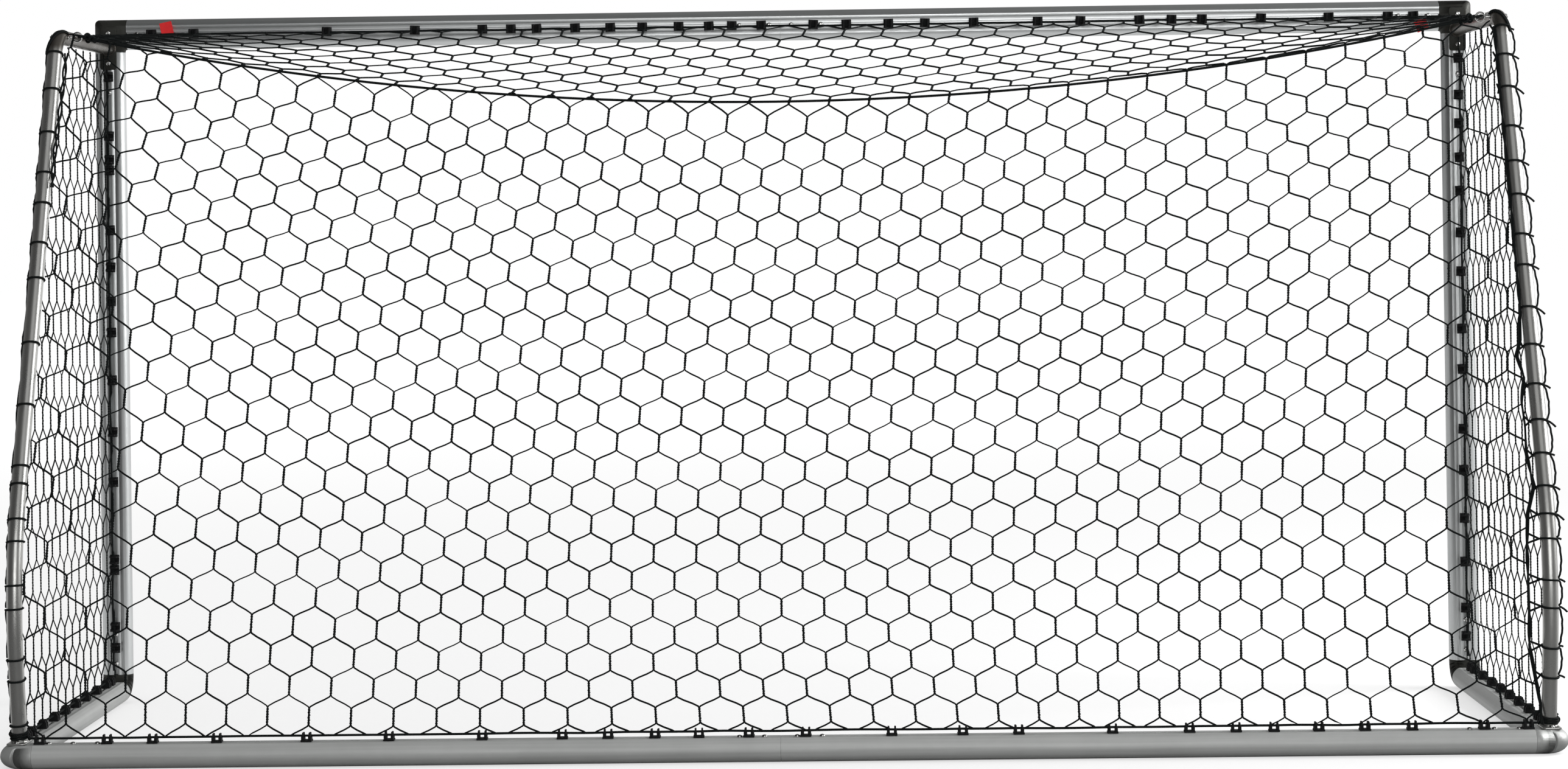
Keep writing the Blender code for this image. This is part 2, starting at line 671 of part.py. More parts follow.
def make_stanchion(label, side):
    """A bent tube with the flange at its top and the plate at its foot welded on."""
    name = f"{label}_stanchion"
    obj = add_part(name, along_curve(name, tube_path(side, 0), TUBE_RADIUS, TUBE_RES), TUBE_PAINT)
    post, ground = post_frame(side), side_frame(side)
    half, thick = FLANGE_WIDTH / 2, FLANGE_THICKNESS
    low, high = TUBE_Z - FLANGE_HALF, TUBE_Z + FLANGE_HALF
    join_on(obj, f"{name}_flange", box("flange", (-half, GAP, low), (half, GAP + thick, high)), post)
    low, high = FOOT_Y - FOOT_PLATE_HALF, FOOT_Y + FOOT_PLATE_HALF
    join_on(obj, f"{name}_plate", box("plate", (-half, GAP, low), (half, GAP + thick, high)), ground)
    under = box("under", (-BAR_WIDTH, -BAR_DEPTH, low - BAR_WIDTH), (BAR_WIDTH, GAP, high + BAR_WIDTH))
    cut_out(obj, f"{name}_under", under, ground)
    for place in (TUBE_Z - FLANGE_BOLT, TUBE_Z + FLANGE_BOLT):
        cut_out(obj, f"{name}_hole", hole(-thick, 3 * thick, place), post)
    for place in (FOOT_Y - FOOT_BOLT, FOOT_Y + FOOT_BOLT):
        cut_out(obj, f"{name}_hole", hole(-thick, 3 * thick, place), ground)
    inner = along_curve("tube_bore", tube_path(side, TUBE_RADIUS), TUBE_RADIUS - TUBE_WALL, BORE_RES)
    cut_out(obj, f"{name}_bore", inner)
    radius, reach = EYE_SHANK + FIT, 2 * TUBE_RADIUS
    crossing = turned("crossing", [(radius, -reach), (radius, reach)], BOLT_SIDES)
    cut_out(obj, f"{name}_eye_hole", crossing, eye_frame(side))


def eye_frame(side):
    """Frame of an eye bolt: its shank runs along local Y, outwards."""
    return frame_at(Vector((side * POST_X, EYE_Y, TUBE_Z)), side * X_AXIS, Z_AXIS)


def make_eye_bolt(label, side):
    """The eye bolt through a stanchion's bend, and its nut."""
    frame = eye_frame(side)
    nut_seat = TUBE_RADIUS + GAP
    shank_end = nut_seat + NUT_HEIGHT + EYE_WIRE
    shank = turned("shank", [(EYE_SHANK, EYE_RADIUS - EYE_REACH), (EYE_SHANK, shank_end)], BOLT_SIDES)
    eye = bmesh.new()
    verts = [eye.verts.new((EYE_RADIUS + across, 0, up)) for across, up in circle_outline(EYE_WIRE, EYE_SIDES)]
    edges = [eye.edges.new((verts[i - 1], verts[i])) for i in range(len(verts))]
    bmesh.ops.spin(eye, geom=edges, cent=(0, 0, 0), axis=Z_AXIS, angle=math.tau, steps=EYE_STEPS, use_merge=True)
    name = f"{label}_eye_bolt"
    turn = Matrix.Translation((0, -EYE_REACH, 0)) @ Matrix.Rotation(math.pi / 2, 4, "Y")
    bmesh.ops.transform(eye, matrix=turn, verts=eye.verts)
    obj = add_part(name, finish_mesh(eye, name), BRIGHT_STEEL, frame)
    join_on(obj, f"{name}_shank", shank, frame)
    nut = prism(f"{label}_eye_nut", [circle_outline(NUT_RADIUS, 6), circle_outline(EYE_SHANK + FIT, 8)],
                nut_seat, nut_seat + NUT_HEIGHT)
    add_part(f"{label}_eye_nut", nut, BRIGHT_STEEL, frame @ Matrix.Rotation(-math.pi / 2, 4, "X"))


# Ropes and clips

def clip_row(name, frame, start, end, places):
    """A border rope on its row of clips, as one piece: a square rope that widens into each clip."""
    middle = CLIP_HEIGHT - ROPE_RADIUS
    rope = [(ROPE_RADIUS, middle), (0, middle + ROPE_RADIUS), (-ROPE_RADIUS, middle), (0, middle - ROPE_RADIUS)]
    half = CLIP_WIDTH / 2
    low = GAP
    clip = [(half, low), (half, CLIP_HEIGHT), (-half, CLIP_HEIGHT), (-half, low)]
    bm = bmesh.new()

    def ring(outline, along):
        return [bm.verts.new((across, out, along)) for across, out in outline]

    def tube(one, two):
        for i in range(4):
            bm.faces.new((one[i], one[(i + 1) % 4], two[(i + 1) % 4], two[i]))

    last = ring(rope, start)
    bm.faces.new(reversed(last))
    for place in sorted(places):
        stretch = ring(rope, place - CLIP_LENGTH / 2)
        near, far = ring(clip, place - CLIP_LENGTH / 2), ring(clip, place + CLIP_LENGTH / 2)
        out = ring(rope, place + CLIP_LENGTH / 2)
        tube(last, stretch)
        tube(stretch, near)
        tube(near, far)
        tube(far, out)
        last = out
    tip = ring(rope, end)
    tube(last, tip)
    bm.faces.new(tip)
    return add_part(name, finish_mesh(bm, name), BLACK_PLASTIC, frame)


def spread(start, end, count):
    """Evenly spread places, both ends included."""
    return [start + (end - start) * i / (count - 1) for i in range(count)]


def clip_places(bolts, bays, last=None):
    """Places of the clips in each bay between two bolts, side by side where they would overlap."""
    clear = CLIP_LENGTH / 2 + BOLT_HEAD_RADIUS + FIT
    ordered = sorted(bolts)
    places = []
    for start, end, shares in zip(ordered, ordered[1:], bays):
        for share in shares:
            place = start + clear + (end - start - 2 * clear) * share
            if places:
                place = max(place, places[-1] + CLIP_LENGTH + FIT)
            places.append(place)
    return places if last is None else [*places, last - CLIP_LENGTH / 2]


def make_clip_rows():
    """Clips and border ropes along every bar."""
    crossbar, rear = [], []
    for label, side in SIDES:
        crossbar += [side * p for p in clip_places([*CENTRE_BOLTS, *CROSSBAR_END_BOLTS], CROSSBAR_CLIPS[label])]
        rear += [side * p for p in clip_places([*REAR_CENTRE_BOLTS, *REAR_END_BOLTS], REAR_CLIPS[label], REAR_SEAM_X)]
    clip_row("crossbar_net_clips", CROSSBAR, -TOP_SEAM_X, TOP_SEAM_X, crossbar)
    clip_row("rear_bar_net_clips", REAR_BAR, -NET_HALF, NET_HALF, rear)
    for label, side in SIDES:
        top = TUBE_Z - FLANGE_HALF - FIT
        places = clip_places(POST_FOOT_BOLTS + POST_TOP_BOLTS[1:], POST_CLIPS[label], top - TWINE)
        clip_row(f"{label}_post_net_clips", post_frame(side), FOOT_SEAM_Z + CLIP_HEIGHT, top, places)
        rear_end = FOOT_Y - FOOT_PLATE_HALF - FIT
        places = clip_places(SIDE_FRONT_PLACES + SIDE_REAR_PLACES[1:], SIDE_CLIPS, rear_end - TWINE)
        clip_row(f"{label}_side_bar_net_clips", side_frame(side), FOOT_SEAM_Y + CLIP_HEIGHT, rear_end, places)


ROPE_TOP = Vector((0, EYE_Y + EYE_WIRE + REAR_ROPE_RADIUS + EYE_CLEARANCE, TUBE_Z))
NET_FOOT = Vector((0, REAR_Y, BAR_DEPTH + NET_STANDOFF))


def back_plane(x, height):
    """Point of the rear net's plane at a given height."""
    share = (ROPE_TOP.z - height) / (ROPE_TOP.z - NET_FOOT.z)
    return Vector((x, ROPE_TOP.y + (NET_FOOT.y - ROPE_TOP.y) * share, height))


def rope_height(x):
    """Height of the sagging rear rope."""
    return TUBE_Z - ROPE_SAG * (1 - (x / EYE_X) ** 2)


def make_rear_rope():
    """The rope that carries the net's rear top edge, hooked into both eyes."""
    reach = EYE_X - EYE_RADIUS - 2 * REAR_ROPE_RADIUS
    count = 23
    span = [back_plane(x, rope_height(x)) for x in spread(-reach, reach, count)]

    def hook(side):
        behind = EYE_WIRE + REAR_ROPE_RADIUS + EYE_CLEARANCE
        turn = [(EYE_RADIUS, behind), (EYE_RADIUS / 3, behind * 0.9), (0, behind * 0.4), (0, -behind)]
        return [Vector((side * (EYE_X - inward), EYE_Y + back, TUBE_Z)) for inward, back in turn]

    points = [*reversed(hook(-1)), *span, *hook(1)]
    name = "rear_top_rope"
    add_part(name, along_curve(name, points, REAR_ROPE_RADIUS, 0), BLACK_CORD)


def walk(line, distance):
    """Point at a distance along a line, and the line's direction there."""
    for start, end in zip(line, line[1:]):
        span = end - start
        if distance <= span.length:
            return start + span.normalized() * distance, span.normalized()
        distance -= span.length
    return line[-1], (line[-1] - line[-2]).normalized()


def make_lacing(label, side):
    """The cord wound down a stanchion's leg, which holds the net's edges to it."""
    flat = (TUBE_RADIUS + LACING_RADIUS + LACING_FIT) / math.cos(math.pi / LACING_STEPS)
    line = [point + X_AXIS * side * POST_X for point in leg_line()]
    length = sum((below - above).length for above, below in zip(line, line[1:])) - LACING_TOP - LACING_FOOT
    total = LACING_TURNS * LACING_STEPS
    points = []
    for step in range(total + 1):
        middle, along = walk(line, LACING_TOP + length * step / total)
        angle = math.tau * step / LACING_STEPS
        around = X_AXIS * side * math.cos(angle) + along.cross(X_AXIS) * math.sin(angle)
        points.append(middle + flat * around)
    name = f"{label}_lacing"
    add_part(name, along_curve(name, points, LACING_RADIUS, 0), BLACK_CORD)


# Net panels of six-sided cells

def net_panel(name, cells, place):
    """A net whose border is straight and whose cells stagger like bricks; place maps (u, v) in 0..1."""
    columns, rows = cells
    rise = 0.21 / rows
    bm = bmesh.new()

    def height(k, j):
        if j in (0, rows) or k in (0, 2 * columns):
            return j / rows
        return j / rows + (rise if (k + j) % 2 == 0 else -rise)

    knots = [[bm.verts.new(place(k / (2 * columns), height(k, j))) for j in range(rows + 1)]
             for k in range(2 * columns + 1)]
    for j in range(rows):
        for left in range(-(j % 2), 2 * columns, 2):
            span = [k for k in (left, left + 1, left + 2) if 0 <= k <= 2 * columns]
            bm.faces.new([knots[k][j] for k in span] + [knots[k][j + 1] for k in reversed(span)])
    mesh = bpy.data.meshes.new(name)
    bm.to_mesh(mesh)
    bm.free()
    obj = add_part(name, mesh, BLACK_CORD)
    wire = obj.modifiers.new("strands", "WIREFRAME")
    wire.thickness = TWINE
    wire.use_even_offset = True
    wire.use_boundary = True
    wire.use_replace = True
    return obj


NET_HALF = POST_X - TUBE_RADIUS - NET_CLEARANCE


def rope_gap(x):
    """How far the net's top edge lies below the rear rope: more beside the eyes."""
    return REAR_ROPE_RADIUS + TWINE + EYE_RADIUS * (abs(x) / NET_HALF) ** 8 * 2


def make_rear_net():
    """The back of the net, from the rear rope to the rear ground bar, drawn back to the legs at its sides."""
    def place(u, v):
        x = (2 * u - 1) * NET_HALF
        top = rope_height(x) - rope_gap(x)
        point = back_plane(x, NET_FOOT.z + (top - NET_FOOT.z) * v)
        drawn = min(1.0, (rope_height(x) - point.z) / NET_DRAW) * (abs(x) / NET_HALF) ** NET_CURL
        return point + Y_AXIS * max(0.0, leg_y(point.z) - point.y) * drawn
    net_panel("rear_net", REAR_CELLS, place)


def make_roof_net():
    """The top of the net, from the crossbar back to the rear rope."""
    def place(u, v):
        x = (2 * u - 1) * (NET_HALF - EYE_REACH)
        front = Vector((x, BACK_FACE_Y + NET_STANDOFF, CROSSBAR_Z))
        rope = back_plane(x, rope_height(x))
        back = rope - Y_AXIS * (REAR_ROPE_RADIUS + TWINE)
        return front.lerp(back, v)
    net_panel("roof_net", ROOF_CELLS, place)


def make_side_net(label, side):
    """A side of the net, between post, stanchion and side ground bar."""
    front = BACK_FACE_Y + NET_STANDOFF
    top = TUBE_Z - TUBE_RADIUS - NET_CLEARANCE
    bottom = BAR_DEPTH + NET_STANDOFF
    off = TUBE_RADIUS + 2 * LACING_RADIUS + NET_CLEARANCE / 2

    def place(u, v):
        height = bottom + (top - bottom) * v
        return Vector((side * POST_X, front + (leg_y(height, off) - front) * u, height))
    net_panel(f"{label}_side_net", SIDE_CELLS, place)


def make_tag(label, side):
    """A blank square tag on the crossbar's back, near its end: one above the clips, one below them."""
    half = TAG_SIZE / 2
    mesh = box("tag", (-half, 0, -half), (half, TAG_THICKNESS, half))
    mesh.transform(Matrix.Rotation(TAG_TILTS[label], 4, "Y"))
    bolt = CROSSBAR_END_BOLTS[0] if TAG_RISES[label] < 0 else CROSSBAR_END_BOLTS[1]
    place = (-TAG_RISES[label], CLIP_HEIGHT + GAP, side * (bolt - TAG_INSETS[label]))
    mesh.transform(Matrix.Translation(place))
    add_part(f"{label}_tag", mesh, RED_TAG, CROSSBAR)


def build_goal():
    """Make every piece."""
    make_crossbar()
    make_posts_and_side_bars()
    make_rear_bar()
    make_clip_rows()
    make_rear_rope()
    make_rear_net()
    make_roof_net()
    for label, side in SIDES:
        make_top_corner(label, side)
        make_foot_corner(label, side)
        make_rear_corner(label, side)
        make_stanchion(label, side)
        make_eye_bolt(label, side)
        make_lacing(label, side)
        make_side_net(label, side)
        make_tag(label, side)


build_goal()
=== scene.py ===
"""A free-standing soccer goal: bolted aluminium bars, cast corners, bent stanchions and a black six-sided net.

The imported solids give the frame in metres: +Z up, +X along the crossbar, -Y out of the mouth. Every visible piece is
built here in finer form where its solid lies, and takes a node-based finish.
"""
from __future__ import annotations

import json
import logging
import math
import random
from dataclasses import dataclass, field
from enum import Enum
from typing import Callable, Iterable, Sequence

import bmesh
import bpy
from mathutils import Matrix, Vector

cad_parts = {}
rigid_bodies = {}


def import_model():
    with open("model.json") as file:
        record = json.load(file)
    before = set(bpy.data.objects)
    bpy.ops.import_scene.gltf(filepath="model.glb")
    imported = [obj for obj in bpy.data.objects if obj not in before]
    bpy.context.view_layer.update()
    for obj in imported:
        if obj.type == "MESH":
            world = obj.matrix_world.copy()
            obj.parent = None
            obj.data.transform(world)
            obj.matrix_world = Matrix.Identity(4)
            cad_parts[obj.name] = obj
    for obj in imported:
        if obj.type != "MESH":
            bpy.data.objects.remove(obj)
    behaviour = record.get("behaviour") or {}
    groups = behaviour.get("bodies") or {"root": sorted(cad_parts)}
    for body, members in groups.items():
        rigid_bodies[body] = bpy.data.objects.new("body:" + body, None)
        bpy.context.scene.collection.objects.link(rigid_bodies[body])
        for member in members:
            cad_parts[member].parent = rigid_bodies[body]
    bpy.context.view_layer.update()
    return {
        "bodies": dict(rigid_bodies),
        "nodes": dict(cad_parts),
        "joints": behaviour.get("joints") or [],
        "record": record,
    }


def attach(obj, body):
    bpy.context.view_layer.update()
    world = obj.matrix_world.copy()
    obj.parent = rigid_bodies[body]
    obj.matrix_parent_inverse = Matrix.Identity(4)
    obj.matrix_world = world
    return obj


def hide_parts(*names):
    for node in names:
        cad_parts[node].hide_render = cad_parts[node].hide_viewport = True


LOG = logging.getLogger("soccer_goal")
X_AXIS, Y_AXIS, Z_AXIS = Vector((1, 0, 0)), Vector((0, 1, 0)), Vector((0, 0, 1))
Outline = list[tuple[float, float]]
Tone = tuple[float, float, float]
MERGE = 1e-6


class Side(Enum):
    """The two ends of the goal, as seen from the field."""

    LEFT = -1
    RIGHT = 1

    @property
    def label(self) -> str:
        """Prefix of the node names on this side."""
        return self.name.lower()


class Slot(Enum):
    """Material slots of the record."""

    BAR = "bar_aluminium"
    GROUND_BAR = "ground_bar_aluminium"
    CASTING = "casting"
    TUBE = "stanchion_tube"
    STEEL = "bright_steel"
    CORD = "black_cord"
    CLIP = "clip_plastic"
    TAG = "red_tag"


@dataclass(frozen=True)
class GoalSizes:
    """Main sizes of the goal in metres, the same as those of the solids."""

    clear_width: float = 3.66
    clear_height: float = 1.82
    ground_depth: float = 1.23
    top_depth: float = 0.6857
    bar_width: float = 0.084
    bar_depth: float = 0.060
    top_arm: float = 0.091
    foot_bend: float = 0.018
    tube_radius: float = 0.019
    bend_radius: float = 0.080
    knee_out: float = 0.064
    knee_rise: float = 0.411
    knee_radius: float = 0.800
    tube_drop: float = 0.080
    flange_thickness: float = 0.004
    flange_half: float = 0.060
    flange_bolt: float = 0.042
    foot_inset: float = 0.025
    foot_plate_half: float = 0.048
    foot_bolt: float = 0.035
    eye_radius: float = 0.0115
    eye_wire: float = 0.0027
    eye_reach: float = 0.043
    rope_sag: float = 0.197
    gap: float = 0.0004

    @property
    def post_x(self) -> float:
        """Distance of a post's centre line from the middle."""
        return self.clear_width / 2 + self.bar_width / 2

    @property
    def back_face_y(self) -> float:
        """Place of the flat rear face of posts and crossbar."""
        return -self.ground_depth / 2 + self.bar_depth

    @property
    def rear_y(self) -> float:
        """Centre line of the rear ground bar."""
        return self.ground_depth / 2 - self.bar_width / 2

    @property
    def crossbar_z(self) -> float:
        """Height of the crossbar's centre line."""
        return self.clear_height + self.bar_width / 2

    @property
    def top_z(self) -> float:
        """Height of the whole goal."""
        return self.clear_height + self.bar_width

    @property
    def top_seam_x(self) -> float:
        """Where the crossbar meets its corner casting."""
        return self.post_x + self.bar_width / 2 - self.top_arm

    @property
    def top_seam_z(self) -> float:
        """Where a post meets its top casting."""
        return self.top_z - self.top_arm

    @property
    def foot_seam_z(self) -> float:
        """Where a post meets its foot casting."""
        return self.bar_depth + self.foot_bend

    @property
    def foot_seam_y(self) -> float:
        """Where a side bar meets its foot casting."""
        return self.back_face_y + self.foot_bend

    @property
    def rear_seam_x(self) -> float:
        """Where the rear bar meets its corner casting."""
        return self.post_x - self.bar_width / 2

    @property
    def rear_seam_y(self) -> float:
        """Where a side bar meets its rear casting."""
        return self.rear_y - self.bar_width / 2

    @property
    def tube_z(self) -> float:
        """Height of a stanchion's level run."""
        return self.top_z - self.tube_drop

    @property
    def leg_top(self) -> Vector:
        """Corner where a stanchion's level run and leg would meet, at X = 0."""
        return Vector((0, -self.ground_depth / 2 + self.top_depth, self.tube_z))

    @property
    def leg_foot(self) -> Vector:
        """Foot of a stanchion's leg at X = 0."""
        return Vector((0, self.rear_y - self.foot_inset, self.bar_depth))

    @property
    def knee(self) -> Vector:
        """Corner where the leg and its lower end, which leans back in, would meet at X = 0."""
        return self.leg_foot + Vector((0, self.knee_out, self.knee_rise))

    @property
    def leg(self) -> Vector:
        """Direction of a leg above its knee, downwards."""
        return (self.knee - self.leg_top).normalized()

    @property
    def shin(self) -> Vector:
        """Direction of a leg below its knee, downwards."""
        return (self.leg_foot - self.knee).normalized()

    @property
    def eye_y(self) -> float:
        """Where the eye bolts cross the tubes."""
        return self.leg_top.y - self.bend_radius * math.tan(math.acos(self.leg.y) / 2)

    @property
    def eye_x(self) -> float:
        """Distance of an eye's middle from the goal's middle."""
        return self.post_x - self.eye_reach


@dataclass(frozen=True)
class BoltTables:
    """Distances of the bolts from the seam beside them."""

    frame: tuple[float, ...] = (0.031, 0.113)
    rear: tuple[float, ...] = (0.035, 0.095, 0.155)
    rear_centre: tuple[float, ...] = (0.040, 0.101)
    side_front: tuple[float, ...] = (0.031, 0.092)
    side_rear_pitch: float = 0.061


GOAL = GoalSizes()
BOLTS = BoltTables()


def frame_at(origin: Vector, out: Vector, along: Vector) -> Matrix:
    """Local frame of a bar: X across, Y out of its flat face, Z along it.

    Args:
        origin: A point on the flat face's centre line.
        out: Direction out of the flat face.
        along: Direction along the bar.

    Returns:
        The frame as a 4 by 4 matrix.
    """
    columns = Matrix((out.cross(along), out, along)).transposed().to_4x4()
    return Matrix.Translation(origin) @ columns


CROSSBAR = frame_at(Vector((0, GOAL.back_face_y, GOAL.crossbar_z)), Y_AXIS, X_AXIS)
REAR_BAR = frame_at(Vector((0, GOAL.rear_y, GOAL.bar_depth)), Z_AXIS, X_AXIS)
POSTS = {side: frame_at(Vector((side.value * GOAL.post_x, GOAL.back_face_y, 0)), Y_AXIS, Z_AXIS) for side in Side}
SIDE_BARS = {side: frame_at(Vector((side.value * GOAL.post_x, 0, GOAL.bar_depth)), Z_AXIS, Y_AXIS) for side in Side}
EYES = {side: frame_at(Vector((side.value * GOAL.post_x, GOAL.eye_y, GOAL.tube_z)), side.value * X_AXIS, Z_AXIS)
        for side in Side}

CROSSBAR_END_BOLTS = [GOAL.top_seam_x - d for d in BOLTS.frame]
REAR_END_BOLTS = [GOAL.rear_seam_x - d for d in BOLTS.rear]
POST_TOP_BOLTS = [GOAL.tube_z - GOAL.flange_bolt, GOAL.top_seam_z - BOLTS.frame[1]]
POST_FOOT_BOLTS = [GOAL.foot_seam_z + d for d in BOLTS.frame]
SIDE_FRONT_BOLTS = [GOAL.foot_seam_y + d for d in BOLTS.side_front]
SIDE_REAR_BOLTS = [GOAL.leg_foot.y - GOAL.foot_bolt, GOAL.leg_foot.y - GOAL.foot_bolt - BOLTS.side_rear_pitch]


# Finishes


class Nodes:
    """Short hand for adding and joining the nodes of one tree."""

    def __init__(self, tree: bpy.types.NodeTree) -> None:
        """Keep the tree that the nodes are added to."""
        self.tree = tree

    def add(self, kind: str, inputs: dict | None = None, **settings: object) -> bpy.types.Node:
        """Add a node.

        Args:
            kind: Type name without its ShaderNode prefix.
            inputs: Socket name or number to a value, or to a socket that feeds it.
            **settings: Properties of the node.

        Returns:
            The new node.
        """
        node = self.tree.nodes.new(kind if kind.startswith("NodeGroup") else f"ShaderNode{kind}")
        for name, value in settings.items():
            setattr(node, name, value)
        for key, value in (inputs or {}).items():
            if isinstance(value, bpy.types.NodeSocket):
                self.tree.links.new(value, node.inputs[key])
            else:
                node.inputs[key].default_value = value
        return node

    def math(self, operation: str, first: object, second: object = 0.5, clamp: bool = False) -> bpy.types.NodeSocket:
        """Add a Math node and return its output."""
        return self.add("Math", {0: first, 1: second}, operation=operation, use_clamp=clamp).outputs[0]

    def varied(self, source: bpy.types.NodeSocket, swing: float, base: float) -> bpy.types.NodeSocket:
        """A base value that a source between 0 and 1 raises by up to the swing."""
        return self.add("Math", {0: source, 1: swing, 2: base}, operation="MULTIPLY_ADD").outputs[0]

    def ramp(self, source: bpy.types.NodeSocket, low: float, high: float) -> bpy.types.NodeSocket:
        """Stretch a value so that low becomes 0 and high becomes 1, clamped."""
        return self.add("MapRange", {"Value": source, "From Min": low, "From Max": high}).outputs[0]

    def noise(self, place: bpy.types.Node, scale: float, detail: float, roughness: float = 0.5) -> bpy.types.Node:
        """Add a noise texture at a place that another node gives."""
        return self.add("TexNoise", {"Vector": place.outputs[0], "Scale": scale, "Detail": detail,
                                     "Roughness": roughness})

    def tint(self, low: Tone, high: Tone | bpy.types.NodeSocket, factor: bpy.types.NodeSocket) -> bpy.types.NodeSocket:
        """Mix two colours by a varying factor; a socket may stand for either."""
        pair = [tone if isinstance(tone, bpy.types.NodeSocket) else (*tone, 1) for tone in (low, high)]
        return self.add("Mix", {"Factor": factor, 6: pair[0], 7: pair[1]}, data_type="RGBA").outputs[2]


class Effect(Nodes):
    """A shader node group in the making, whose outputs are all single values."""

    def __init__(self, name: str, inputs: dict[str, float], outputs: Sequence[str]) -> None:
        """Make the group's sockets: a vector, the given inputs with their defaults, and the outputs."""
        super().__init__(bpy.data.node_groups.new(name, "ShaderNodeTree"))
        self.tree.interface.new_socket("Vector", in_out="INPUT", socket_type="NodeSocketVector")
        for label, value in inputs.items():
            self.tree.interface.new_socket(label, in_out="INPUT", socket_type="NodeSocketFloat").default_value = value
        for label in outputs:
            self.tree.interface.new_socket(label, in_out="OUTPUT", socket_type="NodeSocketFloat")
        self.given = self.add("NodeGroupInput").outputs
        self.result = self.add("NodeGroupOutput").inputs

    def emit(self, label: str, value: bpy.types.NodeSocket) -> None:
        """Put a value out of the group."""
        self.tree.links.new(value, self.result[label])

    def scaled(self, factor: str) -> bpy.types.Node:
        """The group's vector times one of its inputs."""
        return self.add("VectorMath", {0: self.given["Vector"], "Scale": self.given[factor]}, operation="SCALE")


def die_lines() -> bpy.types.NodeTree:
    """Fine lines that an extrusion die draws along a bar; reads the bar's own UV map."""
    group = Effect("die_lines", {"Lines": 1400.0}, ("Lines", "Bands"))
    split = group.add("SeparateXYZ", {0: group.given["Vector"]})
    fine = group.math("MULTIPLY", split.outputs["Y"], group.given["Lines"])
    slow = group.math("MULTIPLY", split.outputs["X"], 1.7)
    lines = group.noise(group.add("CombineXYZ", {"X": slow, "Y": fine}), 1.0, 3.0, 0.7)
    wide = group.math("MULTIPLY", fine, 0.11)
    bands = group.noise(group.add("CombineXYZ", {"X": slow, "Y": wide}), 1.0, 1.0)
    group.emit("Lines", group.ramp(lines.outputs[0], 0.3, 0.7))
    group.emit("Bands", group.ramp(bands.outputs[0], 0.3, 0.7))
    return group.tree


def scuffs() -> bpy.types.NodeTree:
    """Soft blotches, small pits and thin scratches from handling and weather."""
    group = Effect("scuffs", {"Scale": 9.0}, ("Blotch", "Pits", "Scratches"))
    place = group.scaled("Scale")
    blotch, pits = group.noise(place, 1.0, 6.0, 0.6), group.noise(place, 55.0, 2.0, 0.8)
    bent = group.noise(place, 2.0, 2.0)
    moved = group.add("VectorMath", {0: place.outputs[0], 1: bent.outputs["Color"]}, operation="ADD")
    cells = group.add("TexVoronoi", {"Vector": moved.outputs[0], "Scale": 6.0}, feature="DISTANCE_TO_EDGE")
    thin, broken = group.ramp(cells.outputs["Distance"], 0.012, 0.0), group.ramp(bent.outputs[0], 0.55, 0.7)
    group.emit("Blotch", group.ramp(blotch.outputs[0], 0.35, 0.7))
    group.emit("Pits", group.ramp(pits.outputs[0], 0.5, 0.75))
    group.emit("Scratches", group.math("MULTIPLY", thin, broken))
    return group.tree


def cord_lay() -> bpy.types.NodeTree:
    """The lay of a twisted cord; reads the cord's own UV map, whose U runs once per metre."""
    group = Effect("cord_lay", {"Turns": 260.0, "Plies": 3.0}, ("Height", "Fuzz"))
    split = group.add("SeparateXYZ", {0: group.given["Vector"]})
    length = group.math("MULTIPLY", split.outputs["X"], group.given["Turns"])
    around = group.math("MULTIPLY", split.outputs["Y"], group.given["Plies"])
    phase = group.math("ADD", length, around)
    wave = group.math("SINE", group.math("MULTIPLY", phase, math.tau))
    fuzz = group.noise(group.add("CombineXYZ", {"X": phase, "Y": group.math("MULTIPLY", around, 7.0)}), 3.0, 3.0)
    group.emit("Height", group.math("ABSOLUTE", wave))
    group.emit("Fuzz", group.ramp(fuzz.outputs[0], 0.3, 0.75))
    return group.tree


def tape_weave() -> bpy.types.NodeTree:
    """Plain weave of a tape, on object coordinates."""
    group = Effect("tape_weave", {"Threads": 1800.0}, ("Height",))
    split = group.add("SeparateXYZ", {0: group.scaled("Threads").outputs[0]})
    warp, weft = (group.math("SINE", group.math("MULTIPLY", split.outputs[axis], math.pi)) for axis in "XZ")
    group.emit("Height", group.math("MULTIPLY", warp, weft))
    return group.tree


class Effects:
    """The node groups that several finishes share."""

    def __init__(self) -> None:
        """Build each group once."""
        self.die_lines, self.scuffs, self.cord_lay, self.weave = die_lines(), scuffs(), cord_lay(), tape_weave()


class Bench(Nodes):
    """A material in the making, with its shader and its coordinates."""

    def __init__(self, name: str) -> None:
        """Start the material."""
        self.material = bpy.data.materials.new(name)
        self.material.use_nodes = True
        super().__init__(self.material.node_tree)
        self.shader = self.tree.nodes["Principled BSDF"]
        self.where = self.add("TexCoord")

    def pattern(self, group: bpy.types.NodeTree, coordinates: str = "Object", **values: float) -> bpy.types.NodeOutputs:
        """Add a shared effect with its own values and return its outputs."""
        return self.add("Group", {"Vector": self.where.outputs[coordinates], **values}, node_tree=group).outputs

    def feed(self, socket: str, value: float | bpy.types.NodeSocket) -> None:
        """Set one of the shader's sockets, or join a varying value to it."""
        if isinstance(value, bpy.types.NodeSocket):
            self.tree.links.new(value, self.shader.inputs[socket])
        else:
            self.shader.inputs[socket].default_value = value

    def relief(self, height: bpy.types.NodeSocket, strength: float, distance: float) -> None:
        """Bump the surface by a height."""
        self.feed("Normal", self.add("Bump", {"Height": height, "Strength": strength, "Distance": distance}).outputs[0])


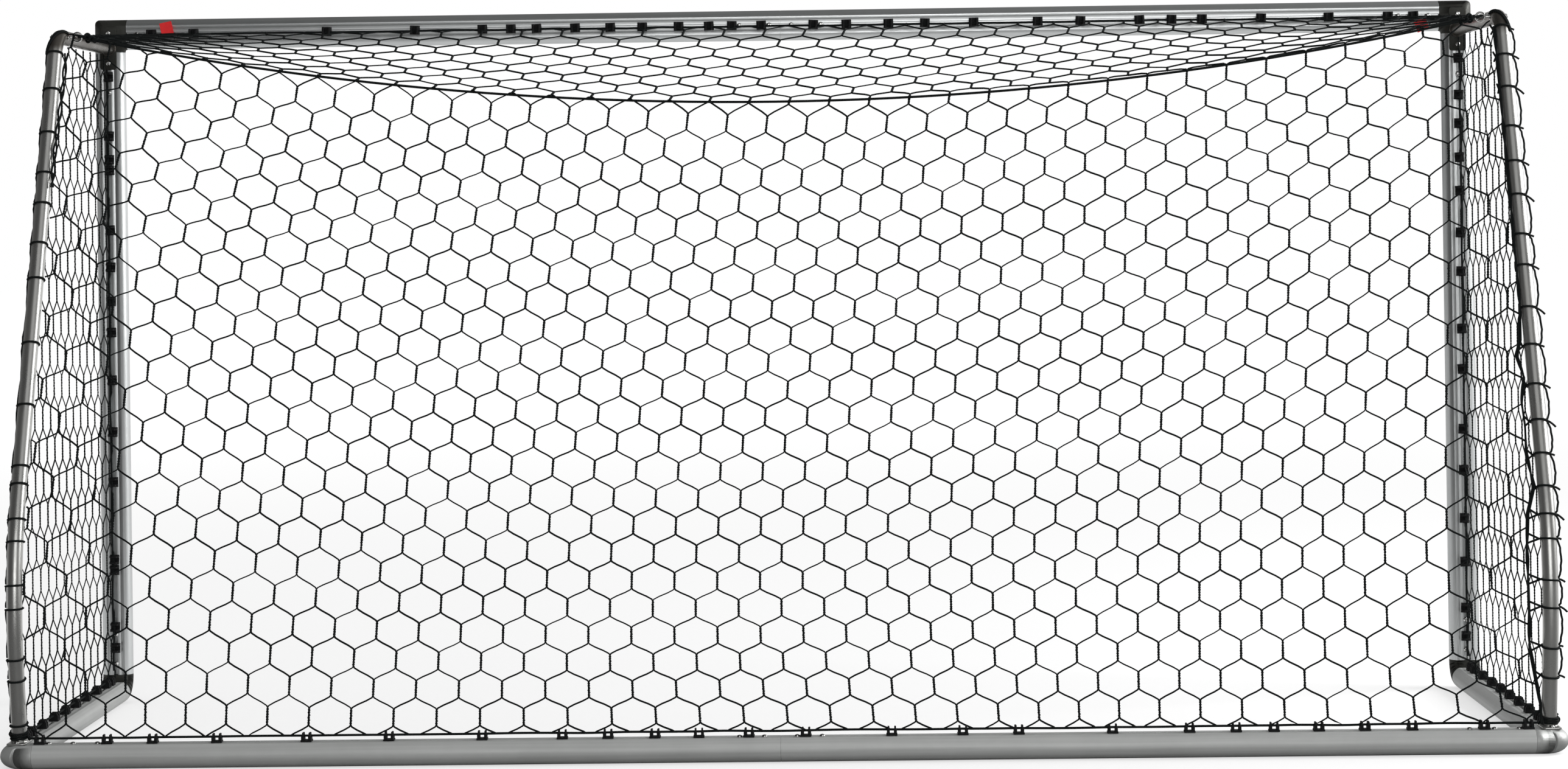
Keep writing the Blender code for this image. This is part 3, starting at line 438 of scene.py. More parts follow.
@dataclass(frozen=True)
class ExtrudedAluminium:
    """Satin extruded aluminium with die lines along the bar and a few scuffs."""

    name: str
    light: Tone = (0.80, 0.82, 0.82)
    dark: Tone = (0.66, 0.68, 0.68)
    metallic: float = 0.90
    roughness: float = 0.27

    def make(self, effects: Effects) -> bpy.types.Material:
        """Build the material."""
        bench = Bench(self.name)
        lines, scuffed = bench.pattern(effects.die_lines, "UV"), bench.pattern(effects.scuffs)
        bands = bench.math("MULTIPLY", lines["Bands"], 0.6)
        worn = bench.math("ADD", bands, bench.math("MULTIPLY", scuffed["Blotch"], 0.4), True)
        bench.feed("Base Color", bench.tint(self.light, self.dark, worn))
        bench.feed("Metallic", self.metallic)
        rough = bench.varied(lines["Lines"], 0.10, self.roughness)
        bench.feed("Roughness", bench.math("ADD", rough, bench.math("MULTIPLY", scuffed["Scratches"], 0.15), True))
        ridges = bench.math("MULTIPLY", lines["Lines"], 0.5)
        bench.relief(bench.math("ADD", ridges, bench.math("MULTIPLY", scuffed["Pits"], -0.6)), 0.25, 0.0002)
        return bench.material


@dataclass(frozen=True)
class BlotchedFinish:
    """A finish in two tones that blend in soft blotches: castings, steel, moulded plastic and tape.

    The gloss is how far the blotches raise the roughness, and its base. The relief is a strength and a distance.
    """

    name: str
    scale: float
    low: Tone
    high: Tone
    gloss: tuple[float, float]
    relief: tuple[float, float] | None = None
    metallic: float = 0.0
    specular: float = 0.5
    scratched: bool = False
    woven: bool = False

    def make(self, effects: Effects) -> bpy.types.Material:
        """Build the material."""
        bench = Bench(self.name)
        scuffed = bench.pattern(effects.scuffs, Scale=self.scale)
        worn = scuffed["Blotch"]
        if self.scratched:
            worn = bench.math("ADD", worn, scuffed["Scratches"], True)
        bench.feed("Base Color", bench.tint(self.low, self.high, worn))
        bench.feed("Metallic", self.metallic)
        bench.feed("Specular IOR Level", self.specular)
        bench.feed("Roughness", bench.varied(scuffed["Blotch"], *self.gloss))
        if self.relief:
            height = bench.pattern(effects.weave)["Height"] if self.woven else scuffed["Pits"]
            bench.relief(height, *self.relief)
        return bench.material


@dataclass(frozen=True)
class TubePaint:
    """Satin grey coat over tube, with small chips, and painted shade over its top run and bend: a darker brown tone
    above the given heights.
    """

    name: str = "stanchion_paint"
    coat: Tone = (0.620, 0.620, 0.600)
    worn: Tone = (0.500, 0.500, 0.480)
    # Painted shade: the darker brown tone over the tube's top run and bend, and the heights where it fades in.
    top_bend_shade: Tone = (0.200, 0.185, 0.165)
    heights: tuple[float, float] = (1.775, 1.800)

    def make(self, effects: Effects) -> bpy.types.Material:
        """Build the material."""
        bench = Bench(self.name)
        scuffed = bench.pattern(effects.scuffs, Scale=11.0)
        chips = bench.math("ADD", bench.math("MULTIPLY", scuffed["Blotch"], 0.5), scuffed["Scratches"], True)
        height = bench.add("SeparateXYZ", {"Vector": bench.where.outputs["Object"]}).outputs["Z"]
        coat = bench.tint(self.coat, self.worn, chips)
        # Painted shade: darker brown above the given heights, over the tube's top run and bend.
        bench.feed("Base Color", bench.tint(coat, self.top_bend_shade, bench.ramp(height, *self.heights)))
        bench.feed("Metallic", 0.88)
        bench.feed("Roughness", bench.varied(scuffed["Blotch"], 0.15, 0.24))
        bench.relief(scuffed["Pits"], 0.2, 0.0002)
        return bench.material


@dataclass(frozen=True)
class Twine:
    """Black polyethylene twine whose lay shows as fine ridges, with painted shade: darker in the grooves between the
    plies, paler on the ridge tops.
    """

    name: str
    turns: float = 260.0
    # Painted shade in the lay's grooves, and the paler tone of the ridge tops.
    groove_shade: Tone = (0.004, 0.006, 0.006)
    pale: Tone = (0.012, 0.015, 0.015)

    def make(self, effects: Effects) -> bpy.types.Material:
        """Build the material."""
        bench = Bench(self.name)
        lay = bench.pattern(effects.cord_lay, "UV", Turns=self.turns)
        # Painted shade: the colour follows the lay's height, darker in its grooves and paler on its ridges, broken up
        # by fuzz.
        bench.feed("Base Color", bench.tint(self.groove_shade, self.pale, bench.math("MULTIPLY", lay["Height"], lay["Fuzz"])))
        bench.feed("Roughness", bench.varied(lay["Fuzz"], 0.2, 0.70))
        bench.feed("Specular IOR Level", 0.18)
        bench.relief(lay["Height"], 0.35, 0.0004)
        return bench.material


class Finishes:
    """Every material of the goal, by the slot it belongs to."""

    def __init__(self) -> None:
        """Build the shared effects and then each finish."""
        effects = Effects()
        cast = {"gloss": (-0.12, 0.48), "relief": (0.5, 0.0004), "metallic": 0.5, "scratched": True}
        olive = BlotchedFinish("olive_casting", 14.0, (0.030, 0.031, 0.026), (0.050, 0.051, 0.045), **cast)
        grey = BlotchedFinish("grey_casting", 14.0, (0.46, 0.47, 0.46), (0.54, 0.55, 0.54), **cast)
        steel = BlotchedFinish("zinc_bright_steel", 60.0, (0.84, 0.84, 0.83), (0.66, 0.66, 0.64), (0.14, 0.16),
                               metallic=1.0)
        plastic = BlotchedFinish("moulded_black_plastic", 45.0, (0.004, 0.004, 0.005), (0.010, 0.011, 0.011),
                                 (0.18, 0.58), (0.3, 0.0002), specular=0.25)
        tape = BlotchedFinish("red_woven_tape", 40.0, (0.95, 0.014, 0.018), (0.78, 0.010, 0.014), (0.1, 0.6),
                              (0.3, 0.0002), woven=True)
        dull = ExtrudedAluminium("dull_ground_bar_aluminium", (0.62, 0.63, 0.62), (0.50, 0.51, 0.50), 0.35, 0.48)
        self.grey_casting = grey.make(effects)
        self.rope = Twine("border_rope", 130.0, pale=(0.014, 0.017, 0.017)).make(effects)
        self.by_slot = {Slot.BAR: ExtrudedAluminium("satin_bar_aluminium").make(effects),
                        Slot.GROUND_BAR: dull.make(effects), Slot.CASTING: olive.make(effects),
                        Slot.TUBE: TubePaint().make(effects), Slot.STEEL: steel.make(effects),
                        Slot.CORD: Twine("net_twine").make(effects), Slot.CLIP: plastic.make(effects),
                        Slot.TAG: tape.make(effects)}


# Mesh making


def add_object(name: str, data: bpy.types.ID) -> bpy.types.Object:
    """Put data into the scene as an object."""
    obj = bpy.data.objects.new(name, data)
    bpy.context.scene.collection.objects.link(obj)
    return obj


def join(target: bmesh.types.BMesh, part: bmesh.types.BMesh, frame: Matrix | None = None) -> None:
    """Add a part to a bmesh, placed by a frame, and free the part."""
    if frame is not None:
        bmesh.ops.transform(part, matrix=frame, verts=part.verts)
    mesh = bpy.data.meshes.new("part")
    part.to_mesh(mesh)
    part.free()
    target.from_mesh(mesh)
    bpy.data.meshes.remove(mesh)


def face_outwards(bm: bmesh.types.BMesh) -> bmesh.types.BMesh:
    """Turn every face of a closed shape outwards and return the shape."""
    bmesh.ops.recalc_face_normals(bm, faces=bm.faces)
    return bm


def bevel(bm: bmesh.types.BMesh, edges: Sequence[bmesh.types.BMEdge], width: float, segments: int) -> None:
    """Round some edges."""
    bmesh.ops.bevel(bm, geom=edges, offset=width, offset_type="OFFSET", segments=segments, profile=0.5,
                    affect="EDGES", clamp_overlap=True, material=-1)


def soften(bm: bmesh.types.BMesh, width: float, segments: int = 2, angle: float = 28.0) -> None:
    """Round every edge that is sharper than an angle in degrees."""
    bm.normal_update()
    bevel(bm, [e for e in bm.edges if len(e.link_faces) == 2 and math.degrees(e.calc_face_angle(0)) > angle], width,
          segments)


def swept(rings: Sequence[Sequence[Vector]]) -> bmesh.types.BMesh:
    """Extrude a closed outline from ring to ring.

    Args:
        rings: The outline's points at each station, in the same order.

    Returns:
        A closed solid.
    """
    bm = bmesh.new()
    ring = [bm.verts.new(point) for point in rings[0]]
    face = bm.faces.new(ring)
    for targets in rings[1:]:
        places = {vert.co.to_tuple(7): place for place, vert in enumerate(ring)}
        moved = bmesh.ops.extrude_face_region(bm, geom=[face])["geom"]
        face = next(item for item in moved if isinstance(item, bmesh.types.BMFace))
        ring = sorted(face.verts, key=lambda vert: places[vert.co.to_tuple(7)])
        for vert, point in zip(ring, targets):
            vert.co = point
    return face_outwards(bm)


def prism(outline: Outline, low: float, high: float) -> bmesh.types.BMesh:
    """Sweep an outline of a bar's frame from one place along it to another."""
    return swept([[Vector((across, out, along)) for across, out in outline] for along in (low, high)])


def turned(profile: Outline, steps: int) -> bmesh.types.BMesh:
    """Spin a profile round the local Y axis.

    Args:
        profile: Pairs of radius and place along Y, starting and ending on the axis.
        steps: Steps of the full turn.

    Returns:
        A closed solid.
    """
    bm = bmesh.new()
    verts = [bm.verts.new((radius, along, 0)) for radius, along in profile]
    edges = [bm.edges.new(pair) for pair in zip(verts, verts[1:])]
    bmesh.ops.spin(bm, geom=verts + edges, cent=(0, 0, 0), axis=Y_AXIS, angle=math.tau, steps=steps, use_merge=True)
    bmesh.ops.remove_doubles(bm, verts=bm.verts, dist=MERGE)
    return face_outwards(bm)


def block(low: Sequence[float], high: Sequence[float], rounding: float, segments: int = 2) -> bmesh.types.BMesh:
    """A box between two corners with rounded edges."""
    bm = bmesh.new()
    bmesh.ops.create_cube(bm, size=1.0)
    bmesh.ops.scale(bm, vec=Vector(high) - Vector(low), verts=bm.verts)
    bmesh.ops.translate(bm, vec=(Vector(high) + Vector(low)) / 2, verts=bm.verts)
    if rounding:
        soften(bm, rounding, segments)
    return bm


def rounded_plate(half_across: float, middle: float, half_along: float) -> bmesh.types.BMesh:
    """A plate on a bar's flat face with rounded corners and a softened rim, in the bar's frame."""
    bm = block((-half_across, GOAL.gap, middle - half_along),
               (half_across, GOAL.gap + GOAL.flange_thickness, middle + half_along), 0)
    bevel(bm, [e for e in bm.edges if abs((e.verts[0].co - e.verts[1].co).normalized().y) > 0.9], 0.008, 6)
    soften(bm, 0.0008, 2, 40)
    return bm


def cord_mesh(routes: Iterable[Sequence[Vector]], radius: float, resolution: int) -> bmesh.types.BMesh:
    """Round cords along routes, with a UV map that runs in metres along each cord.

    Args:
        routes: The points of each cord.
        radius: Radius of the cords.
        resolution: Resolution of the round section; 0 gives 4 sides and each step 2 more.

    Returns:
        Closed tubes.
    """
    curve = bpy.data.curves.new("routes", "CURVE")
    curve.dimensions = "3D"
    curve.bevel_depth, curve.bevel_resolution = radius, resolution
    sides = 4 + 2 * resolution
    lengths: list[float] = []
    for route in routes:
        spline = curve.splines.new("POLY")
        spline.points.add(len(route) - 1)
        walked = 0.0
        for place, point in enumerate(route):
            spline.points[place].co = (*point, 1)
            if place:
                walked += (point - route[place - 1]).length
            lengths += [walked] * sides
    carrier = add_object("routes", curve)
    mesh = bpy.data.meshes.new_from_object(carrier.evaluated_get(bpy.context.evaluated_depsgraph_get()))
    bpy.data.objects.remove(carrier)
    bpy.data.curves.remove(curve)
    for loop, uv in zip(mesh.loops, mesh.uv_layers[0].uv):
        uv.vector.x = lengths[loop.vertex_index]
    bm = bmesh.new()
    bm.from_mesh(mesh)
    bpy.data.meshes.remove(mesh)
    return close(bm)


def close(bm: bmesh.types.BMesh) -> bmesh.types.BMesh:
    """Fill the open ends of a shape, turn its faces outwards and return it."""
    bmesh.ops.holes_fill(bm, edges=[edge for edge in bm.edges if edge.is_boundary], sides=0)
    return face_outwards(bm)


def wrap_uv(bm: bmesh.types.BMesh) -> None:
    """Give a bar in its own frame a UV map: U along it and V round it, both in metres."""
    layer = bm.loops.layers.uv.verify()
    middle = GOAL.bar_depth / 2
    for face in bm.faces:
        centre = face.calc_center_median()
        around = math.atan2(centre.x, centre.y + middle)
        for loop in face.loops:
            co = loop.vert.co
            angle = math.atan2(co.x, co.y + middle)
            angle += math.tau * round((around - angle) / math.tau)
            loop[layer].uv = (co.z, angle * middle)


class Workshop:
    """Turns finished meshes into pieces that ride on the goal."""

    def __init__(self, finishes: Finishes) -> None:
        """Keep the finishes that pieces are dressed in."""
        self.finishes = finishes

    def piece(self, name: str, bm: bmesh.types.BMesh, slot: Slot, node: str,
              finish: bpy.types.Material | None = None, angle: float = 30.0) -> None:
        """Make a piece from a bmesh and let it stand for a CAD node.

        Args:
            name: The piece's name.
            bm: Its shape, which is freed.
            slot: The slot whose finish it takes, when no other finish is given.
            node: The CAD node that it replaces.
            finish: Its material, if not the slot's own.
            angle: Edges sharper than this many degrees stay crisp.
        """
        mesh = bpy.data.meshes.new(name)
        bm.to_mesh(mesh)
        bm.free()
        mesh.shade_smooth()
        mesh.set_sharp_from_angle(angle=math.radians(angle))
        mesh.materials.append(finish or self.finishes.by_slot[slot])
        obj = add_object(name, mesh)
        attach(obj, "root")
        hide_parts(node)
        LOG.info("%s: %d faces for %s", name, len(mesh.polygons), node)

    def fine(self, node: str, bm: bmesh.types.BMesh, slot: Slot, finish: bpy.types.Material | None = None) -> None:
        """Make the finer form of a CAD node."""
        self.piece(f"fine_{node}", bm, slot, node, finish)

    def ropes(self, name: str, node: str, routes: Sequence[Sequence[Vector]], radius: float,
              resolution: int = 2) -> None:
        """Make ropes along routes as one piece."""
        self.piece(name, cord_mesh(routes, radius, resolution), Slot.CORD, node, self.finishes.rope, 60)


# Frame of the goal


@dataclass(frozen=True)
class BarProfile:
    """D-shaped section of every bar, as pairs of across and out with the flat face at out = 0."""

    flat: float = 0.048
    nose: float = 0.020
    wall: float = 0.0025
    mouth: float = 0.010
    channel: float = 0.018
    lip: float = 0.003
    depth: float = 0.009
    fit: float = 0.0006
    steps: int = 14

    def arc(self, inset: float) -> Outline:
        """Right half of the round side, from the flat face down to the nose."""
        half, depth = GOAL.bar_width / 2, GOAL.bar_depth
        flat_rise = math.sqrt(1 - (self.flat / 2 / half) ** 2)
        nose_rise = math.sqrt(1 - (self.nose / 2 / half) ** 2)
        height = depth / (flat_rise + nose_rise)
        middle = height * flat_rise
        top = math.asin((middle - inset) / (height - inset))
        bottom = -math.asin((depth - inset - middle) / (height - inset))
        angles = [top + (bottom - top) * step / self.steps for step in range(self.steps + 1)]
        return [((half - inset) * math.cos(a), -middle + (height - inset) * math.sin(a)) for a in angles]

    def closed(self, top: Outline, arc: Outline) -> Outline:
        """Join a top edge, an arc and their mirror images into one outline."""
        right = top + arc
        return right + [(-across, out) for across, out in reversed(right)]

    def plain(self) -> Outline:
        """The outside without its groove."""
        return [(0.0, 0.0), *self.arc(0), (0.0, -GOAL.bar_depth), *[(-a, o) for a, o in reversed(self.arc(0))]]

    def grooved(self) -> Outline:
        """The outside with the net groove and two shallow die grooves in its flat face."""
        mouth, inner = self.mouth / 2, self.channel / 2
        floor = -(self.lip + self.depth)
        top = [(inner, floor), (inner, -self.lip), (mouth, -self.lip), (mouth, 0.0),
               (0.0138, 0.0), (0.0142, -0.0005), (0.0150, -0.0005), (0.0154, 0.0)]
        return self.closed(top, self.arc(0))

    def tongue(self) -> Outline:
        """The spigot that slides in a bar round its groove channel."""
        arc = self.arc(self.wall + self.fit)
        channel = self.channel / 2 + self.wall + self.fit
        floor = -(self.lip + self.depth + self.wall + self.fit)
        return self.closed([(channel, floor), (channel, arc[0][1])], arc)


PROFILE = BarProfile()


@dataclass
class FrameBars:
    """Crossbar, posts and ground bars."""

    shop: Workshop
    crease: float = 0.0005

    def bar(self, name: str, frame: Matrix, ends: Sequence[float], slot: Slot) -> None:
        """Make one extruded bar between two places along its frame."""
        low, high = sorted(ends)
        bm = prism(PROFILE.grooved(), low + GOAL.gap / 2, high - GOAL.gap / 2)
        soften(bm, self.crease, 1, 35)
        wrap_uv(bm)
        bmesh.ops.transform(bm, matrix=frame, verts=bm.verts)
        self.shop.fine(name, bm, slot)

    def build(self) -> None:
        """Make every bar."""
        for side in Side:
            label, way, ground = side.label, side.value, Slot.GROUND_BAR
            self.bar(f"crossbar_{label}_half", CROSSBAR, (0.0, way * GOAL.top_seam_x), Slot.BAR)
            self.bar(f"rear_bar_{label}_half", REAR_BAR, (0.0, way * GOAL.rear_seam_x), ground)
            self.bar(f"{label}_post", POSTS[side], (GOAL.foot_seam_z, GOAL.top_seam_z), Slot.BAR)
            self.bar(f"{label}_side_ground_bar", SIDE_BARS[side], (GOAL.foot_seam_y, GOAL.rear_seam_y), ground)


@dataclass
class CornerCastings:
    """The six cast corners with the tongues that slide into the bars."""

    shop: Workshop
    crease: float = 0.0007
    top_trims: tuple[float, float] = (0.006, 0.013)
    crossbar_tongue: float = 0.130
    post_tongue: float = 0.135
    side_front_tongue: float = 0.115
    side_rear_tongue: float = 0.105
    rear_tongue: float = 0.180

    def tongue(self, bm: bmesh.types.BMesh, frame: Matrix, seam: float, reach: float, length: float) -> None:
        """Join the spigot that reaches from a seam into a bar."""
        ends = sorted((seam - reach * PROFILE.wall, seam + reach * length))
        join(bm, prism(PROFILE.tongue(), *ends), frame)

    def elbow(self, corner: tuple[float, float], seams: tuple[float, float], trims: tuple[float, float], steps: int,
              place: Callable[[float, float, float], Vector]) -> bmesh.types.BMesh:
        """Sweep the bar's outside round a right-angled corner.

        Args:
            corner: Where the arms' centre lines cross.
            seams: Where each arm's bar ends.
            trims: How far from the inner and the outer corner the rounding starts.
            steps: Steps of the rounding.
            place: Turns (first, second, out) into a point.

        Returns:
            The elbow with softened edges.
        """
        half = GOAL.bar_width / 2
        ends = [seam + GOAL.gap / 2 for seam in seams]
        outline = PROFILE.plain()
        rings = [[place(ends[0], corner[1] + s, out) for s, out in outline]]
        for step in range(steps + 1):
            angle = math.pi / 2 * step / steps
            ring = []
            for s, out in outline:
                trim = trims[0] + (trims[1] - trims[0]) * (s + half) / (2 * half)
                ring.append(place(corner[0] + s - trim * (1 - math.sin(angle)),
                                  corner[1] + s - trim * (1 - math.cos(angle)), out))
            rings.append(ring)
        rings.append([place(corner[0] + s, ends[1], out) for s, out in outline])
        bm = swept(rings)
        bmesh.ops.remove_doubles(bm, verts=bm.verts, dist=MERGE)
        soften(bm, self.crease, 2, 32)
        return face_outwards(bm)

    def top(self, side: Side) -> None:
        """Make the casting between crossbar and post."""
        bm = self.elbow((GOAL.post_x, GOAL.crossbar_z), (GOAL.top_seam_x, GOAL.top_seam_z), self.top_trims, 8,
                        lambda x, z, out: Vector((side.value * x, GOAL.back_face_y + out, z)))
        self.tongue(bm, CROSSBAR, side.value * GOAL.top_seam_x, -side.value, self.crossbar_tongue)
        self.tongue(bm, POSTS[side], GOAL.top_seam_z, -1, self.post_tongue)
        self.shop.fine(f"{side.label}_top_corner", bm, Slot.CASTING)

    def foot(self, side: Side, steps: int = 14) -> None:
        """Make the swept casting between post and side ground bar."""
        rings = []
        for step in range(steps + 1):
            angle = math.pi / 2 * step / steps
            rings.append([Vector((side.value * GOAL.post_x + across,
                                  GOAL.foot_seam_y - (GOAL.foot_bend - out) * math.cos(angle),
                                  GOAL.foot_seam_z - (GOAL.foot_bend - out) * math.sin(angle)))
                          for across, out in PROFILE.plain()])
        bm = swept(rings)
        soften(bm, self.crease, 2, 32)
        self.tongue(bm, POSTS[side], GOAL.foot_seam_z, 1, self.post_tongue)
        self.tongue(bm, SIDE_BARS[side], GOAL.foot_seam_y, 1, self.side_front_tongue)
        self.shop.fine(f"{side.label}_foot_corner", bm, Slot.CASTING)

    def rear(self, side: Side) -> None:
        """Make the casting between side and rear ground bar, rounded in plan."""
        bm = self.elbow((GOAL.post_x, GOAL.rear_y), (GOAL.rear_seam_x, GOAL.rear_seam_y), (0.0, GOAL.bar_width / 2), 12,
                        lambda x, y, out: Vector((side.value * x, y, GOAL.bar_depth + out)))
        self.tongue(bm, REAR_BAR, side.value * GOAL.rear_seam_x, -side.value, self.rear_tongue)
        self.tongue(bm, SIDE_BARS[side], GOAL.rear_seam_y, -1, self.side_rear_tongue)
        self.shop.fine(f"{side.label}_rear_corner", bm, Slot.CASTING, self.shop.finishes.grey_casting)

    def build(self) -> None:
        """Make all six castings."""
        for side in Side:
            self.top(side)
            self.foot(side)
            self.rear(side)


@dataclass
class BoltRows:
    """Round-headed socket bolts in their threaded strips."""

    shop: Workshop
    head_radius: float = 0.0070
    head_height: float = 0.0048
    dome: tuple[tuple[float, float], ...] = ((0.0034, 0.0001), (0.0048, 0.0007), (0.0060, 0.0018))
    socket: float = 0.0023
    socket_depth: float = 0.0024
    shank: float = 0.0040
    strip_half: float = 0.007
    strip_thickness: float = 0.004
    strip_end: float = 0.012
    steps: int = 24

    def bolt(self, seat: float, foot: float) -> bmesh.types.BMesh:
        """One bolt along local Y: a domed head with a six-sided socket, on its shank."""
        radius, height, top = self.head_radius, self.head_height, seat + self.head_height
        bm = turned([(0.0, top - self.socket_depth), (self.socket, top - self.socket_depth),
                     (self.socket, top - 0.0002), (self.socket + 0.0003, top),
                     *[(reach, top - drop) for reach, drop in self.dome], (radius * 0.96, top - 0.0032),
                     (radius, seat + height * 0.18), (radius - 0.0001, seat), (self.shank, seat), (self.shank, foot),
                     (0.0, foot)], self.steps)
        for vert in bm.verts:
            reach = math.hypot(vert.co.x, vert.co.z)
            if abs(reach - self.socket) < 0.0001 and vert.co.y > seat:
                turn = math.atan2(vert.co.z, vert.co.x) % (math.pi / 3) - math.pi / 6
                scale = 0.9 / math.cos(turn)
                vert.co.x, vert.co.z = vert.co.x * scale, vert.co.z * scale
        return bm

    def row(self, name: str, frame: Matrix, places: Sequence[float], seats: Sequence[float] = (),
            strip: bool = True) -> None:
        """Make the bolts of one CAD node, with the strip that they screw into.

        Args:
            name: The CAD node.
            frame: The bar's frame.
            places: The bolts' places along the bar.
            seats: How high each head sits, if not on the bar's face.
            strip: Whether the node has its own strip.
        """
        bm = bmesh.new()
        top = -(PROFILE.lip + PROFILE.depth + PROFILE.wall + PROFILE.fit)
        bottom = top - self.strip_thickness
        if strip:
            join(bm, block((-self.strip_half, bottom, min(places) - self.strip_end),
                           (self.strip_half, top - GOAL.gap, max(places) + self.strip_end), 0.0004))
        for index, place in enumerate(places):
            bolt = self.bolt(seats[index] if seats else GOAL.gap, (top + bottom) / 2 if strip else bottom + GOAL.gap)
            turn = Matrix.Rotation(0.7 * index + 1.3 * place, 4, "Y")
            join(bm, bolt, Matrix.Translation((0, 0, place)) @ turn)
        bmesh.ops.transform(bm, matrix=frame, verts=bm.verts)
        self.shop.fine(name, bm, Slot.STEEL)

    def build(self) -> None:
        """Make every bolt of the goal."""
        on_plate = GOAL.flange_thickness + 2 * GOAL.gap
        for name, frame, pair in (("crossbar", CROSSBAR, BOLTS.frame), ("rear_bar", REAR_BAR, BOLTS.rear_centre)):
            self.row(f"{name}_joint_bolts", frame, [*(-place for place in reversed(pair)), *pair])
        for side in Side:
            label, way = side.label, side.value
            post, ground = POSTS[side], SIDE_BARS[side]
            self.row(f"{label}_crossbar_end_bolts", CROSSBAR, [way * d for d in CROSSBAR_END_BOLTS])
            self.row(f"{label}_rear_bar_end_bolts", REAR_BAR, [way * d for d in REAR_END_BOLTS])
            self.row(f"{label}_post_top_bolts", post, POST_TOP_BOLTS, (on_plate, GOAL.gap))
            self.row(f"{label}_post_foot_bolts", post, POST_FOOT_BOLTS)
            self.row(f"{label}_side_bar_front_bolts", ground, SIDE_FRONT_BOLTS)
            self.row(f"{label}_side_bar_rear_bolts", ground, SIDE_REAR_BOLTS, (on_plate, GOAL.gap))
            self.row(f"{label}_flange_bolt", post, [GOAL.tube_z + GOAL.flange_bolt], (on_plate,), False)
            self.row(f"{label}_foot_bolt", ground, [GOAL.leg_foot.y + GOAL.foot_bolt], (on_plate,), False)


class LegCurve:
    """The line of a stanchion's tube at X = 0: over the top bend, down, round the wide knee and in to the foot."""

    def __init__(self, sizes: GoalSizes) -> None:
        """Find the two bends: each has its middle, radius, and first and last angle."""
        self.sizes = sizes
        first, last = math.acos(sizes.leg.y), math.acos(sizes.shin.y)
        start = sizes.knee - sizes.leg * sizes.knee_radius * math.tan((last - first) / 2)
        self.bends = ((Vector((0, sizes.eye_y, sizes.tube_z - sizes.bend_radius)), sizes.bend_radius, 0.0, first),
                      (start - sizes.knee_radius * self.ray(first), sizes.knee_radius, first, last))

    def ray(self, angle: float) -> Vector:
        """Direction from a bend's middle, where the tube has turned down by an angle."""
        return Vector((0, math.sin(angle), math.cos(angle)))

    def line(self, inwards: float = 0.0, steps: int = 18) -> list[Vector]:
        """Points of the line, or of one nearer to the goal's front."""
        points = [middle + (radius - inwards) * self.ray(first + (last - first) * step / steps)
                  for middle, radius, first, last in self.bends for step in range(steps + 1)]
        return [*points, self.sizes.leg_foot - inwards * self.ray(self.bends[1][3])]

    def back(self, height: float, inwards: float = 0.0) -> float:
        """How far back the line, or one nearer to the front, lies at a height."""
        (top, bend, _, first), (middle, knee, _, last) = self.bends
        bend, knee = bend - inwards, knee - inwards
        above, below = top + bend * self.ray(first), middle + knee * self.ray(last)
        if height >= above.z:
            return top.y + math.sqrt(max(0.0, bend * bend - (height - top.z) ** 2))
        if height >= (middle + knee * self.ray(first)).z:
            return above.y + (above.z - height) * self.sizes.leg.y / -self.sizes.leg.z
        if height >= below.z:
            return middle.y + math.sqrt(knee * knee - (height - middle.z) ** 2)
        return below.y + (below.z - height) * self.sizes.shin.y / -self.sizes.shin.z

    def frame(self, side: Side, height: float) -> tuple[Vector, Vector, Vector]:
        """Middle of a tube at a height, the direction down it and the direction behind it."""
        low, high = height - 0.003, height + 0.003
        down = Vector((0, self.back(low) - self.back(high), low - high)).normalized()
        return Vector((side.value * self.sizes.post_x, self.back(height), height)), down, down.cross(X_AXIS)


LEG_CURVE = LegCurve(GOAL)


